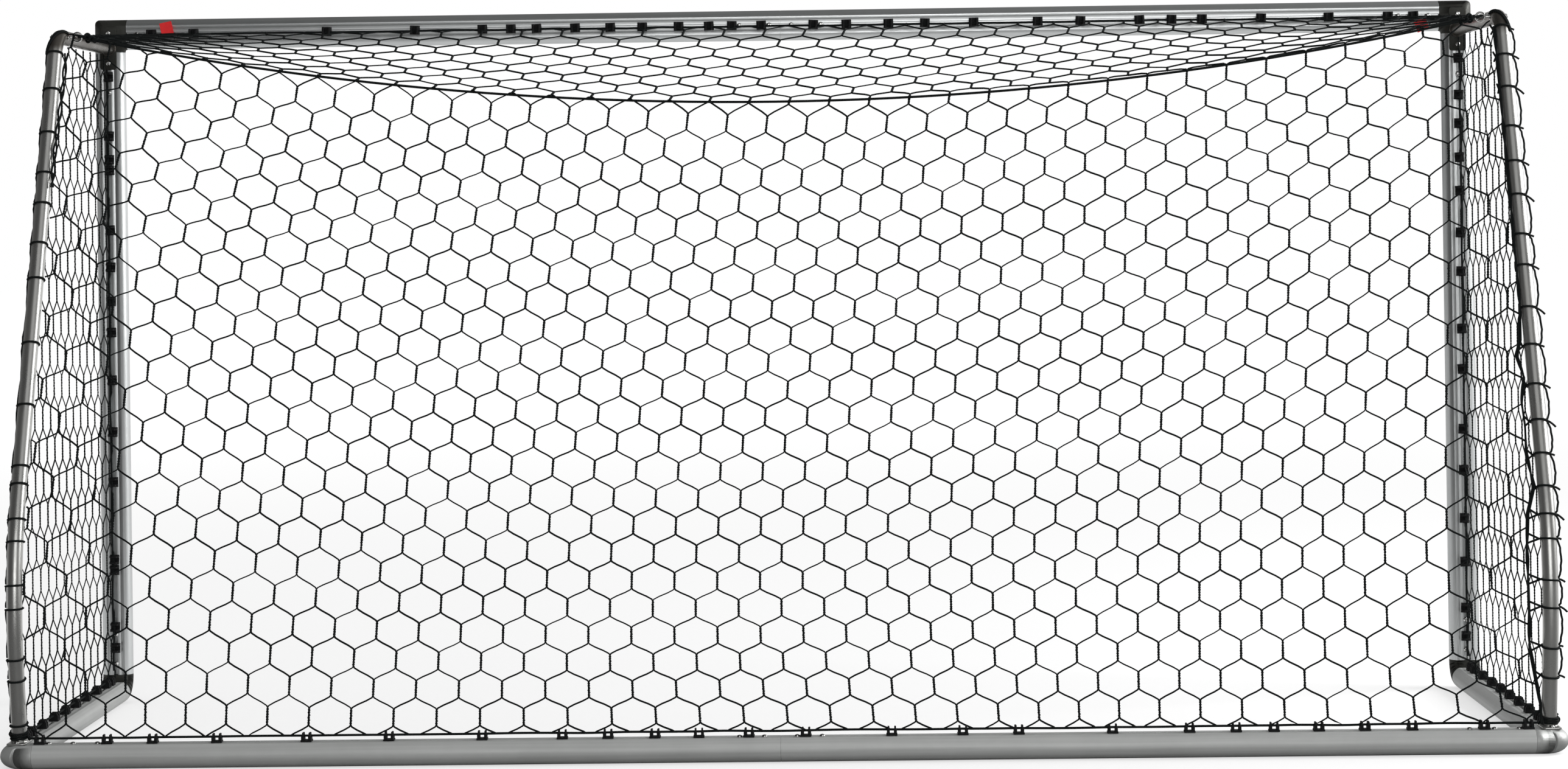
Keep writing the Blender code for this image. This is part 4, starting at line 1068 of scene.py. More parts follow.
@dataclass
class Stanchions:
    """The bent tubes with their welded flanges and foot plates, and the eye bolts through them."""

    shop: Workshop
    flange_width: float = 0.046
    weld_wire: float = 0.0026
    weld_lift: float = 0.0008
    nut_radius: float = 0.0075
    nut_height: float = 0.006
    collar_radius: float = 0.0085
    eye_shank: float = 0.004
    thread_pitch: float = 0.00115
    thread_turns: int = 7

    def weld(self, centre: Vector, along: Vector, steps: int = 48) -> bmesh.types.BMesh:
        """A slightly uneven weld bead round the tube."""
        turn = along.to_track_quat("Z", "Y").to_matrix()
        route = []
        for step in [*range(steps), 0]:
            angle = math.tau * step / steps
            reach = GOAL.tube_radius + self.weld_wire * (0.25 + 0.16 * math.sin(step * math.pi / 2))
            route.append(centre + turn @ Vector((reach * math.cos(angle), reach * math.sin(angle), 0)))
        return cord_mesh([route], self.weld_wire, 2)

    def tube(self, side: Side) -> None:
        """Make the tube with its foot plate and welds as one piece, and its flange in the casting's finish."""
        node, shift = f"{side.label}_stanchion", X_AXIS * side.value * GOAL.post_x
        half, thick, foot_y = self.flange_width / 2, GOAL.flange_thickness, GOAL.leg_foot.y
        start = Vector((0, GOAL.back_face_y + thick / 2, GOAL.tube_z))
        line = [start, *LEG_CURVE.line()[:-1], GOAL.leg_foot + GOAL.shin * 0.012]
        bm = cord_mesh([[point + shift for point in line]], GOAL.tube_radius, 14)
        bmesh.ops.bisect_plane(bm, geom=bm.verts[:] + bm.edges[:] + bm.faces[:], plane_no=-Z_AXIS, clear_outer=True,
                               plane_co=Vector((0, 0, GOAL.bar_depth + GOAL.gap + 0.001)))
        bmesh.ops.holes_fill(bm, edges=[edge for edge in bm.edges if edge.is_boundary], sides=0)
        flange = bmesh.new()
        join(flange, rounded_plate(half, GOAL.tube_z, GOAL.flange_half), POSTS[side])
        self.shop.piece(f"{node}_flange", flange, Slot.TUBE, node, self.shop.finishes.by_slot[Slot.CASTING])
        join(bm, rounded_plate(half, foot_y, GOAL.foot_plate_half), SIDE_BARS[side])
        join(bm, self.weld(shift + Vector((0, GOAL.back_face_y + thick + self.weld_lift, GOAL.tube_z)), Y_AXIS))
        join(bm, self.weld(shift + Vector((0, foot_y + 0.0007, GOAL.bar_depth + thick + self.weld_lift)), Z_AXIS))
        self.shop.fine(node, face_outwards(bm), Slot.TUBE)

    def eye_bolt(self, side: Side) -> None:
        """Make the eye bolt, whose shank runs along local Y, outwards."""
        seat, inner = GOAL.tube_radius + GOAL.gap, GOAL.eye_radius - GOAL.eye_reach
        eye = bmesh.new()
        bmesh.ops.create_circle(eye, radius=GOAL.eye_wire, segments=12)
        bmesh.ops.rotate(eye, matrix=Matrix.Rotation(math.pi / 2, 3, "X"), verts=eye.verts)
        bmesh.ops.translate(eye, vec=(GOAL.eye_radius, 0, 0), verts=eye.verts)
        bmesh.ops.spin(eye, geom=eye.verts[:] + eye.edges[:], cent=(0, 0, 0), axis=Z_AXIS, angle=math.tau, steps=32,
                       use_merge=True)
        bmesh.ops.remove_doubles(eye, verts=eye.verts, dist=MERGE)
        upright = Matrix.Translation((0, -GOAL.eye_reach, 0)) @ Matrix.Rotation(math.pi / 2, 4, "Y")
        bmesh.ops.transform(eye, matrix=upright, verts=eye.verts)
        face_outwards(eye)
        end = seat + self.nut_height + 0.0027
        profile = [(0.0, inner - 0.001), (0.003, inner), (self.eye_shank, inner + 0.002),
                   (self.eye_shank, -seat - 0.0022), (self.collar_radius, -seat - 0.0020),
                   (self.collar_radius, -seat - 0.0004), (self.eye_shank, -seat - 0.0004)]
        for step in range(self.thread_turns):
            place = seat + self.nut_height * 0.2 + step * self.thread_pitch
            profile += [(0.00395, place), (0.0036, place + 0.0006)]
        join(eye, turned([*profile, (0.0034, end - 0.0002), (0.0, end)], 20))
        bmesh.ops.transform(eye, matrix=EYES[side], verts=eye.verts)
        self.shop.fine(f"{side.label}_eye_bolt", eye, Slot.STEEL)

    def eye_nut(self, side: Side) -> None:
        """Make the nut on the eye bolt, with its rims eased."""
        nut = bmesh.new()
        bmesh.ops.create_cone(nut, cap_ends=True, segments=6, radius1=self.nut_radius, radius2=self.nut_radius,
                              depth=self.nut_height)
        bevel(nut, [edge for face in nut.faces if abs(face.normal.z) > 0.9 for edge in face.edges], 0.0009, 2)
        bmesh.ops.rotate(nut, matrix=Matrix.Rotation(-math.pi / 2, 3, "X"), verts=nut.verts)
        bmesh.ops.translate(nut, vec=(0, GOAL.tube_radius + GOAL.gap + self.nut_height / 2, 0), verts=nut.verts)
        bmesh.ops.transform(nut, matrix=EYES[side], verts=nut.verts)
        self.shop.fine(f"{side.label}_eye_nut", nut, Slot.STEEL)

    def build(self) -> None:
        """Make both stanchions and their eye bolts."""
        for side in Side:
            self.tube(side)
            self.eye_bolt(side)
            self.eye_nut(side)


# Clips and border ropes


@dataclass(frozen=True)
class ClipTables:
    """Shares of each bay between two bolts at which the sliding clips were left, from the middle or ground up."""

    crossbar: dict[Side, tuple[tuple[float, ...], ...]] = field(default_factory=lambda: {
        Side.LEFT: ((1.0,), (0.032, 0.107, 0.172, 0.259, 0.373, 0.449, 0.554, 0.611, 0.665, 0.77, 0.89, 0.995), (0.5,)),
        Side.RIGHT: ((0.0,), (0.0, 0.041, 0.095, 0.16, 0.217, 0.28, 0.349, 0.395, 0.446, 0.567, 0.725, 0.964), (0.5,))})
    rear: dict[Side, tuple[tuple[float, ...], ...]] = field(default_factory=lambda: {
        Side.LEFT: ((0.0,), (0.097, 0.21, 0.299, 0.448, 0.57, 0.644, 0.704, 0.775, 0.848, 0.923), (0.8,)),
        Side.RIGHT: ((0.9,), (0.051, 0.121, 0.196, 0.269, 0.397, 0.546, 0.678, 0.822, 0.925, 0.998))})
    post: dict[Side, tuple[tuple[float, ...], ...]] = field(default_factory=lambda: {
        Side.LEFT: ((0.4,), (0.008, 0.095, 0.177, 0.268, 0.345, 0.458, 0.534, 0.642, 0.715, 0.794, 0.857, 0.921,
                              0.975)),
        Side.RIGHT: ((0.6,), (0.0, 0.108, 0.128, 0.275, 0.37, 0.468, 0.559, 0.618, 0.683, 0.753, 0.867, 0.887, 0.932))})
    side_bar: tuple[tuple[float, ...], ...] = ((0.5,), (0.0, 0.14, 0.29, 0.43, 0.57, 0.71, 0.86, 1.0))


@dataclass
class ClipRows:
    """The black net clips in the bars' grooves, and the border ropes that run through them."""

    shop: Workshop
    length: float = 0.027
    width: float = 0.025
    height: float = 0.0225
    foot_top: float = 0.0048
    leg: tuple[float, float] = (0.0050, 0.0122)
    leg_rise: tuple[float, float] = (0.0040, 0.0158)
    prong: tuple[float, float] = (0.0058, 0.0104)
    prong_foot: float = 0.0150
    rope_out: float = 0.0145
    rope_off: float = 0.003
    rope_radius: float = 0.0029
    rope_start: float = 0.014
    last_gap: float = 0.006
    tables: ClipTables = field(default_factory=ClipTables)

    def places(self, bolts: Sequence[float], bays: Sequence[Sequence[float]], last: float | None = None) -> list[float]:
        """Places of the clips in each bay between two bolts, side by side where they would overlap."""
        clear = self.length / 2 + 0.0070 + PROFILE.fit
        ordered, found = sorted(bolts), []
        for start, end, shares in zip(ordered, ordered[1:], bays):
            for share in shares:
                place = start + clear + (end - start - 2 * clear) * share
                found.append(max(place, found[-1] + self.length + PROFILE.fit) if found else place)
        return found if last is None else [*found, last - self.length / 2]

    def clip(self) -> bmesh.types.BMesh:
        """One clip at the origin of a bar's frame: a flat foot, and two legs that end in prongs beside the rope."""
        half, across = self.length / 2, self.width / 2
        bm = block((-across, GOAL.gap, -half), (across, self.foot_top, half), 0.0006, 1)
        low, high = self.leg_rise
        for way in (-1, 1):
            inner, outer = sorted(way * end for end in self.leg)
            join(bm, block((-across * 0.94, low, inner), (across * 0.94, high, outer), 0.0008, 1))
            outline = [(-across * 0.80, self.prong_foot), (-across * 0.62, self.height), (across * 0.62, self.height),
                       (across * 0.80, self.prong_foot)]
            prong = prism(outline, *sorted(way * end for end in self.prong))
            soften(prong, 0.0006, 1)
            join(bm, prong)
        return bm

    def row(self, name: str, frame: Matrix, start: float, end: float, places: Sequence[float],
            across: float = 0.0) -> None:
        """Make the clips and the border rope of one CAD node.

        Args:
            name: The CAD node.
            frame: The bar's frame.
            start: Where the rope starts along the bar.
            end: Where it ends.
            places: The clips' places along the bar.
            across: How far the rope lies off the bar's middle.
        """
        random.seed(len(places) * 7 + int(abs(start) * 100))
        template = self.clip()
        clips = bmesh.new()
        for place in places:
            turn = Matrix.Rotation(random.uniform(-0.05, 0.05), 4, "Y")
            join(clips, template.copy(), frame @ Matrix.Translation((0, 0, place)) @ turn)
        template.free()
        self.shop.piece(f"{name}_blocks", clips, Slot.CLIP, name)
        stations = sorted({start, end, *places})
        route = []
        for low, high in zip(stations, stations[1:]):
            count = max(2, round((high - low) / 0.02))
            drift, rise = random.uniform(-0.0016, 0.0016), random.uniform(-0.0012, 0.0012)
            for step in range(count):
                bow = math.sin(math.pi * step / count)
                route.append(frame @ Vector((across + drift * bow, self.rope_out + rise * bow,
                                             low + (high - low) * (step / count))))
        route.append(frame @ Vector((across, self.rope_out, end)))
        self.shop.ropes(f"{name}_rope", name, [route], self.rope_radius)

    def build(self) -> None:
        """Make the clips and ropes along every bar."""
        crossbar, rear = [], []
        for side in Side:
            near = [*BOLTS.frame, *CROSSBAR_END_BOLTS]
            crossbar += [side.value * p for p in self.places(near, self.tables.crossbar[side])]
            near = [*BOLTS.rear_centre, *REAR_END_BOLTS]
            rear += [side.value * p for p in self.places(near, self.tables.rear[side], GOAL.rear_seam_x)]
        self.row("crossbar_net_clips", CROSSBAR, -GOAL.top_seam_x, GOAL.top_seam_x, crossbar, self.rope_off)
        reach = GOAL.rear_seam_x + 0.011
        self.row("rear_bar_net_clips", REAR_BAR, -reach, reach, rear)
        for side in Side:
            top = GOAL.tube_z - GOAL.flange_half - PROFILE.fit
            places = self.places(POST_FOOT_BOLTS + POST_TOP_BOLTS[1:], self.tables.post[side], top - self.last_gap)
            self.row(f"{side.label}_post_net_clips", POSTS[side], GOAL.foot_seam_z + self.rope_start, top, places,
                     side.value * self.rope_off)
            end = GOAL.leg_foot.y - GOAL.foot_plate_half - PROFILE.fit
            places = self.places(SIDE_FRONT_BOLTS + SIDE_REAR_BOLTS[1:], self.tables.side_bar, end - self.last_gap)
            self.row(f"{side.label}_side_bar_net_clips", SIDE_BARS[side], GOAL.foot_seam_y + self.rope_start, end,
                     places)


# Net


@dataclass(frozen=True)
class Hang:
    """How the one net of back and roof hangs: a smooth map from its cells to the goal.

    A cell is counted i to the right in steps of one cell and j upwards in rows. Each table holds the control values
    of a cubic surface, in millimetres, every fifth cell and row: the distance X across the goal, and the distance
    along the net from the rear rope down (below 0) or to the crossbar (above 0).
    """

    first: tuple[int, int] = (-20, -12)
    pitch: float = 5.0
    across: tuple[tuple[int, ...], ...] = (
        (2627, 2541, 2503, 2493, 2495, 2481, 2422, 2369, 2298, 2164, 1945),
        (2022, 2041, 2047, 2037, 2033, 2018, 1919, 1915, 1945, 1966, 1995),
        (1491, 1556, 1571, 1551, 1539, 1525, 1427, 1454, 1500, 1558, 1665),
        (994, 1071, 1052, 1036, 1020, 988, 938, 926, 944, 988, 1070),
        (473, 514, 530, 528, 503, 477, 434, 399, 363, 345, 341),
        (-45, -43, -2, -7, -20, -47, -70, -127, -221, -296, -394),
        (-535, -557, -524, -529, -552, -571, -591, -638, -738, -856, -1009),
        (-1021, -1000, -1025, -1047, -1072, -1102, -1098, -1134, -1199, -1291, -1392),
        (-1612, -1549, -1535, -1543, -1590, -1622, -1630, -1640, -1628, -1558, -1430),
        (-2307, -2116, -2038, -2026, -2047, -2086, -2136, -2090, -1917, -1564, -997),
        (-3099, -2672, -2490, -2463, -2516, -2597, -2630, -2483, -2054, -1245, 28),
    )
    along: tuple[tuple[int, ...], ...] = (
        (-2583, -2234, -1773, -1266, -764, -288, 61, 200, 79, -355, -1161),
        (-2466, -2088, -1651, -1209, -791, -352, 23, 287, 464, 493, 343),
        (-2347, -1954, -1544, -1156, -768, -410, -59, 261, 675, 1020, 1308),
        (-2240, -1866, -1506, -1136, -766, -408, -52, 312, 796, 1297, 1838),
        (-2154, -1787, -1472, -1122, -767, -404, -50, 342, 798, 1380, 2039),
        (-2123, -1766, -1455, -1118, -767, -420, -75, 313, 781, 1364, 2021),
        (-2149, -1807, -1467, -1119, -770, -431, -64, 250, 752, 1294, 1867),
        (-2203, -1850, -1495, -1134, -769, -429, -72, 194, 736, 1195, 1641),
        (-2295, -1952, -1596, -1178, -799, -404, -59, 189, 665, 1073, 1413),
        (-2416, -2039, -1635, -1251, -890, -435, -9, 318, 695, 1032, 1285),
        (-2594, -2187, -1761, -1347, -924, -441, 38, 456, 832, 1147, 1368),
    )

    def weights(self, place: float, count: int) -> tuple[int, tuple[float, float, float, float]]:
        """First control value that a place depends on, and the weights of the four in a row."""
        first = min(max(math.floor(place), 0), count - 4)
        u = place - first
        return first, ((1 - u) ** 3 / 6, (3 * u ** 3 - 6 * u * u + 4) / 6, (-3 * u ** 3 + 3 * u * u + 3 * u + 1) / 6,
                       u ** 3 / 6)

    def at(self, i: float, j: float) -> tuple[float, float]:
        """Distances (X, s) of a place in the lattice, in metres."""
        column, by_i = self.weights((i - self.first[0]) / self.pitch, len(self.across))
        row, by_j = self.weights((j - self.first[1]) / self.pitch, len(self.across[0]))
        x = s = 0.0
        for p, share_i in enumerate(by_i):
            for q, share_j in enumerate(by_j):
                share = share_i * share_j / 1000
                x += share * self.across[column + p][row + q]
                s += share * self.along[column + p][row + q]
        return x, s


@dataclass
class HexNet:
    """A sheet of six-sided cells: two sets of cords that lean both ways and twist together along upright edges."""

    place: Callable[[float, float], Vector]
    inside: Callable[[float, float], bool]
    rows: tuple[int, int]
    columns: tuple[float, float]
    half_edge: float = 0.30
    half_twists: int = 7
    segments: int = 14
    strand: float = 0.0015
    pull: float = 0.11
    slant_shares: tuple[float, ...] = (0.09, 0.36, 0.64, 0.91)
    halvings: int = 16
    edges: dict[tuple[float, int], tuple[Vector, Vector, Vector, Vector]] = field(default_factory=dict)

    def edge(self, q: float, j: int) -> tuple[Vector, Vector, Vector, Vector]:
        """Lower end, upper end, sideways and outward direction of an upright edge."""
        if (q, j) not in self.edges:
            low, high = self.place(q, j - self.half_edge), self.place(q, j + self.half_edge)
            beside = (self.place(q + 0.1, j) - self.place(q - 0.1, j)).normalized()
            out = (high - low).cross(beside).normalized()
            self.edges[q, j] = (low, high, beside, out)
        return self.edges[q, j]

    def steps(self, start: float, lean: int) -> list[tuple[tuple[float, float], Vector]]:
        """Walk one cord up the net and list its places in lattice and space."""
        points = []
        q, turn = start, math.pi * self.half_twists
        for j in range(self.rows[0], self.rows[1] + 1):
            low, high, beside, out = self.edge(q, j)
            for step in range(self.segments + 1):
                share = step / self.segments
                angle = (math.pi if lean > 0 else 0.0) + turn * share
                offset = self.strand * (math.cos(angle) * beside + math.sin(angle) * out)
                points.append(((q, j + self.half_edge * (2 * share - 1)), low.lerp(high, share) + offset))
            following = self.edge(q + lean / 2, j + 1)
            first = points[-1][1]
            last = following[0] + self.strand * (-1 if lean > 0 else 1) * following[2]
            handle = self.pull * (last - first).length
            second = first + handle * (high - low).normalized()
            third = last - handle * (following[1] - following[0]).normalized()
            for share in self.slant_shares:
                back = 1 - share
                point = back ** 3 * first + 3 * back * back * share * second + 3 * back * share * share * third \
                    + share ** 3 * last
                points.append(((q + lean / 2 * share, j + self.half_edge + (1 - 2 * self.half_edge) * share), point))
            q += lean / 2
        return points

    def border(self, inner: tuple[float, float], outer: tuple[float, float]) -> Vector:
        """Where a step from inside to outside crosses the net's border."""
        for _ in range(self.halvings):
            middle = ((inner[0] + outer[0]) / 2, (inner[1] + outer[1]) / 2)
            if self.inside(*middle):
                inner = middle
            else:
                outer = middle
        return self.place(*inner)

    def routes(self, lean: int) -> list[list[Vector]]:
        """All cords of one lean, cut at the border."""
        first, last = self.columns
        reach = (self.rows[1] - self.rows[0] + 1) / 2
        low, high = (first - reach, last) if lean > 0 else (first, last + reach)
        start = math.floor(low) + (0.5 if self.rows[0] % 2 == 0 else 0.0)
        found = []
        while start <= high:
            current: list[Vector] = []
            previous = None
            for where, point in self.steps(start, lean):
                within = first - 1 <= where[0] <= last + 1 and self.inside(*where)
                if within and previous is not None and not current and not previous[1]:
                    current.append(self.border(where, previous[0]))
                if within:
                    current.append(point)
                elif current:
                    current.append(self.border(previous[0], where))
                    found.append(current)
                    current = []
                previous = (where, within)
            if len(current) > 1:
                found.append(current)
            start += 1
        return [route for route in found if len(route) > 2]


@dataclass
class GoalNet:
    """Back, roof and sides of the net, with its rope, knots and edge cords."""

    shop: Workshop
    hang: Hang = field(default_factory=Hang)
    heavy: float = 0.0024
    light: float = 0.0021
    side_radii: tuple[float, float] = (0.0015, 0.0018)
    side_strand: float = 0.0008
    side_cell: tuple[float, float] = (0.085, 0.082)
    side_start: tuple[float, float] = (-0.4959, 0.001)
    side_climb: float = 0.0445
    side_loose: tuple[float, float] = (0.020, 0.007)
    lift_way: tuple[float, float, float] = (0, 0.62, 0.78)
    lift_reach: float = 0.02
    knot_sizes: tuple[float, float] = (0.0042, 0.0038)
    run_end_x: float = 1.823
    run_sag: float = 0.040
    hem_twist: float = 0.0024
    edge_twist: float = 0.004
    rope_radius: float = 0.0032
    hem_radius: float = 0.0025
    border_out: float = 0.0145
    edge_x: float = 1.850
    foot: tuple[float, float] = (0.573, 0.0795)
    slope: float = 0.3127
    draw: float = 0.300
    hem: tuple[tuple[int, int], ...] = ((60, 1850), (118, 1850), (189, 1836), (264, 1822), (353, 1822), (427, 1821),
                                        (500, 1821), (580, 1827), (645, 1845), (725, 1835), (790, 1838), (849, 1835),
                                        (908, 1846), (960, 1833), (997, 1844), (1086, 1850), (1820, 1850))

    def on_back(self, x: float, height: float) -> Vector:
        """A point of the back's plane."""
        return Vector((x, self.foot[0] - self.slope * (height - self.foot[1]), height))

    def rope_height(self, x: float) -> float:
        """Height of the sagging rear rope."""
        return GOAL.tube_z - GOAL.rope_sag * (1 - (x / GOAL.eye_x) ** 2)

    def sheet(self, x: float, height: float) -> Vector:
        """A point of the back, which is drawn out to the legs at its sides."""
        point = self.on_back(x, height)
        share = min(1.0, max(0.0, (self.rope_height(x) - height) / self.draw)) * min(1.0, abs(x) / self.edge_x) ** 6
        point.y += max(0.0, LEG_CURVE.back(height) - point.y) * share
        return point

    def hem_x(self, height: float) -> float:
        """Distance of the doubled hem on the left from the goal's middle, by the table in millimetres."""
        for (low, near), (high, far) in zip(self.hem, self.hem[1:]):
            if height * 1000 <= high:
                return (near + (far - near) * max(0.0, height * 1000 - low) / (high - low)) / 1000
        return self.edge_x

    def roof_front(self, x: float) -> Vector:
        """Where the roof hangs on the crossbar's border rope."""
        return Vector((x, GOAL.back_face_y + self.border_out, GOAL.crossbar_z - 0.003))

    def surface(self, x: float, s: float) -> Vector:
        """A point of the net's back (s below 0) or roof, lifted over the rope that it lies on."""
        rope = self.on_back(x, self.rope_height(x))
        if s <= 0:
            point = self.sheet(x, (rope + Vector((0, self.slope, -1)).normalized() * -s).z)
        else:
            point = rope.lerp(self.roof_front(x), s / (self.roof_front(x) - rope).length)
        lift = (self.rope_radius + self.heavy) * math.exp(-(s / self.lift_reach) ** 2)
        return point + Vector(self.lift_way) * lift

    def place(self, i: float, j: float) -> Vector:
        """A place of the lattice on the net."""
        return self.surface(*self.hang.at(i, j))

    def in_back(self, i: float, j: float) -> bool:
        """Whether a place of the lattice lies on the back."""
        x, s = self.hang.at(i, j)
        height = self.surface(x, s).z
        edge = self.hem_x(height) if x < 0 else self.edge_x
        return abs(x) <= edge and s <= 0 and height >= GOAL.bar_depth + self.border_out

    def in_roof(self, i: float, j: float) -> bool:
        """Whether a place of the lattice lies on the roof."""
        x, s = self.hang.at(i, j)
        if abs(x) > self.edge_x or s < 0:
            return False
        return s <= (self.roof_front(x) - self.on_back(x, self.rope_height(x))).length

    def dress(self, net: HexNet, node: str, radii: tuple[float, float]) -> None:
        """Make the two sets of cords of a net as pieces."""
        for lean, radius, word in zip((1, -1), radii, ("rising", "falling")):
            cords = cord_mesh(net.routes(lean), radius, 0)
            self.shop.piece(f"{node}_{word}_cords", cords, Slot.CORD, node, None, 80)

    def back_and_roof(self) -> None:
        """Make the net that runs from the rear bar over the rear rope to the crossbar."""
        for node, inside, rows in (("rear_net", self.in_back, (-11, 17)), ("roof_net", self.in_roof, (11, 23))):
            self.dress(HexNet(self.place, inside, rows, (-19, 18)), node, (self.light, self.heavy))

    def side_net(self, side: Side) -> None:
        """Make the net between post, stanchion and side ground bar."""
        front, low = GOAL.back_face_y + self.border_out, GOAL.bar_depth + self.border_out
        high = GOAL.tube_z - GOAL.tube_radius - 0.003
        phase = 0.0 if side is Side.LEFT else 0.5
        pitch, rise = self.side_cell
        first_y, first_z = self.side_start
        hang, wave = self.side_loose

        def place(i: float, j: float) -> Vector:
            """A place of the side net, whose rows climb a little to the rear."""
            y = pitch * (i + phase) + first_y
            return Vector((side.value * GOAL.post_x, y, first_z + rise * j + self.side_climb * (y + 0.2)))

        def inside(i: float, j: float) -> bool:
            """Whether a place lies within the net, whose rear edge hangs loose on the left."""
            point = place(i, j)
            loose = hang + wave * math.sin(41 * point.z) if side is Side.LEFT else 0.0
            back = LEG_CURVE.back(point.z, GOAL.tube_radius + 0.002) - loose
            return low <= point.z <= high and front <= point.y <= back

        net = HexNet(place, inside, (-1, 23), (-2, 14), strand=self.side_strand)
        self.dress(net, f"{side.label}_side_net", self.side_radii)

    def knot(self, centre: Vector, size: float, turn: float) -> list[Vector]:
        """A cord tied in a tight knot round a point."""
        spin = Matrix.Rotation(turn, 3, "X") @ Matrix.Rotation(turn * 0.6, 3, "Z")
        route = []
        for step in range(37):
            t = math.tau * step / 36
            route.append(centre + spin @ (size * Vector((math.sin(t) + 2 * math.sin(2 * t),
                                                         math.cos(t) - 2 * math.cos(2 * t), -math.sin(3 * t)))))
        return route

    def rear_rope(self) -> None:
        """Make the rope between the eyes with its hooks and knots."""
        reach = GOAL.eye_x - GOAL.eye_radius - 0.0084
        span = [self.on_back(x, self.rope_height(x)) for x in (reach * (step / 24 - 1) for step in range(49))]
        behind = GOAL.eye_wire + 0.0082

        def hook(way: int) -> list[Vector]:
            """The rope's way through the eye on one side."""
            near = GOAL.eye_radius * 0.35
            turn = [(GOAL.eye_radius * 1.6, behind), (near * 2, behind * 0.9), (near, behind * 0.4), (near, -behind)]
            return [Vector((way * (GOAL.eye_x - inward), GOAL.eye_y + back, GOAL.tube_z)) for inward, back in turn]

        routes = [[*reversed(hook(-1)), *span, *hook(1)]]
        for side in Side:
            base = Vector((side.value * (GOAL.eye_x - GOAL.eye_radius - 0.020), GOAL.eye_y + 0.008,
                           GOAL.tube_z - 0.003))
            routes.append(self.knot(base, self.knot_sizes[0], 0.9 * side.value))
            beside = base + Vector((side.value * -0.014, 0.006, -0.004))
            routes.append(self.knot(beside, self.knot_sizes[1], 0.4 * side.value))
            start = base + Vector((0, -0.006, 0.004))
            end = self.roof_front(side.value * self.run_end_x)
            routes.append([start.lerp(end, step / 30) - Z_AXIS * self.run_sag * (step / 30) * (1 - step / 30)
                           for step in range(31)])
        self.shop.ropes("rear_rope_with_knots", "rear_top_rope", routes, self.rope_radius, 3)

    def edge_cords(self) -> None:
        """Make the doubled hem on the left and the thick cord at the top of the right edge."""
        hem: list[list[Vector]] = [[], []]
        for step in range(170):
            height = 0.070 + 0.0102 * step
            point = self.sheet(-self.hem_x(height), height)
            point.y = max(point.y, LEG_CURVE.back(height) + 0.010) if height > 1.05 else point.y
            for way, route in zip((0.0, math.pi), hem):
                angle = way + 0.9 * math.sin(step * 0.31) + step * 0.24
                route.append(point + self.hem_twist * Vector((math.cos(angle), math.sin(angle), 0)))
        routes = [*hem]
        twist = self.edge_twist
        for way in (0.0, math.pi):
            routes.append([self.sheet(self.edge_x - 0.002, height) + Vector((twist * math.cos(way + height * 60),
                           0.012 + twist * math.sin(way + height * 60), 0))
                           for height in (1.43 + 0.01 * step for step in range(36))])
        self.shop.ropes("net_edge_cords", "rear_net", routes, self.hem_radius)

    def build(self) -> None:
        """Make the whole net."""
        self.back_and_roof()
        self.rear_rope()
        self.edge_cords()
        for side in Side:
            self.side_net(side)


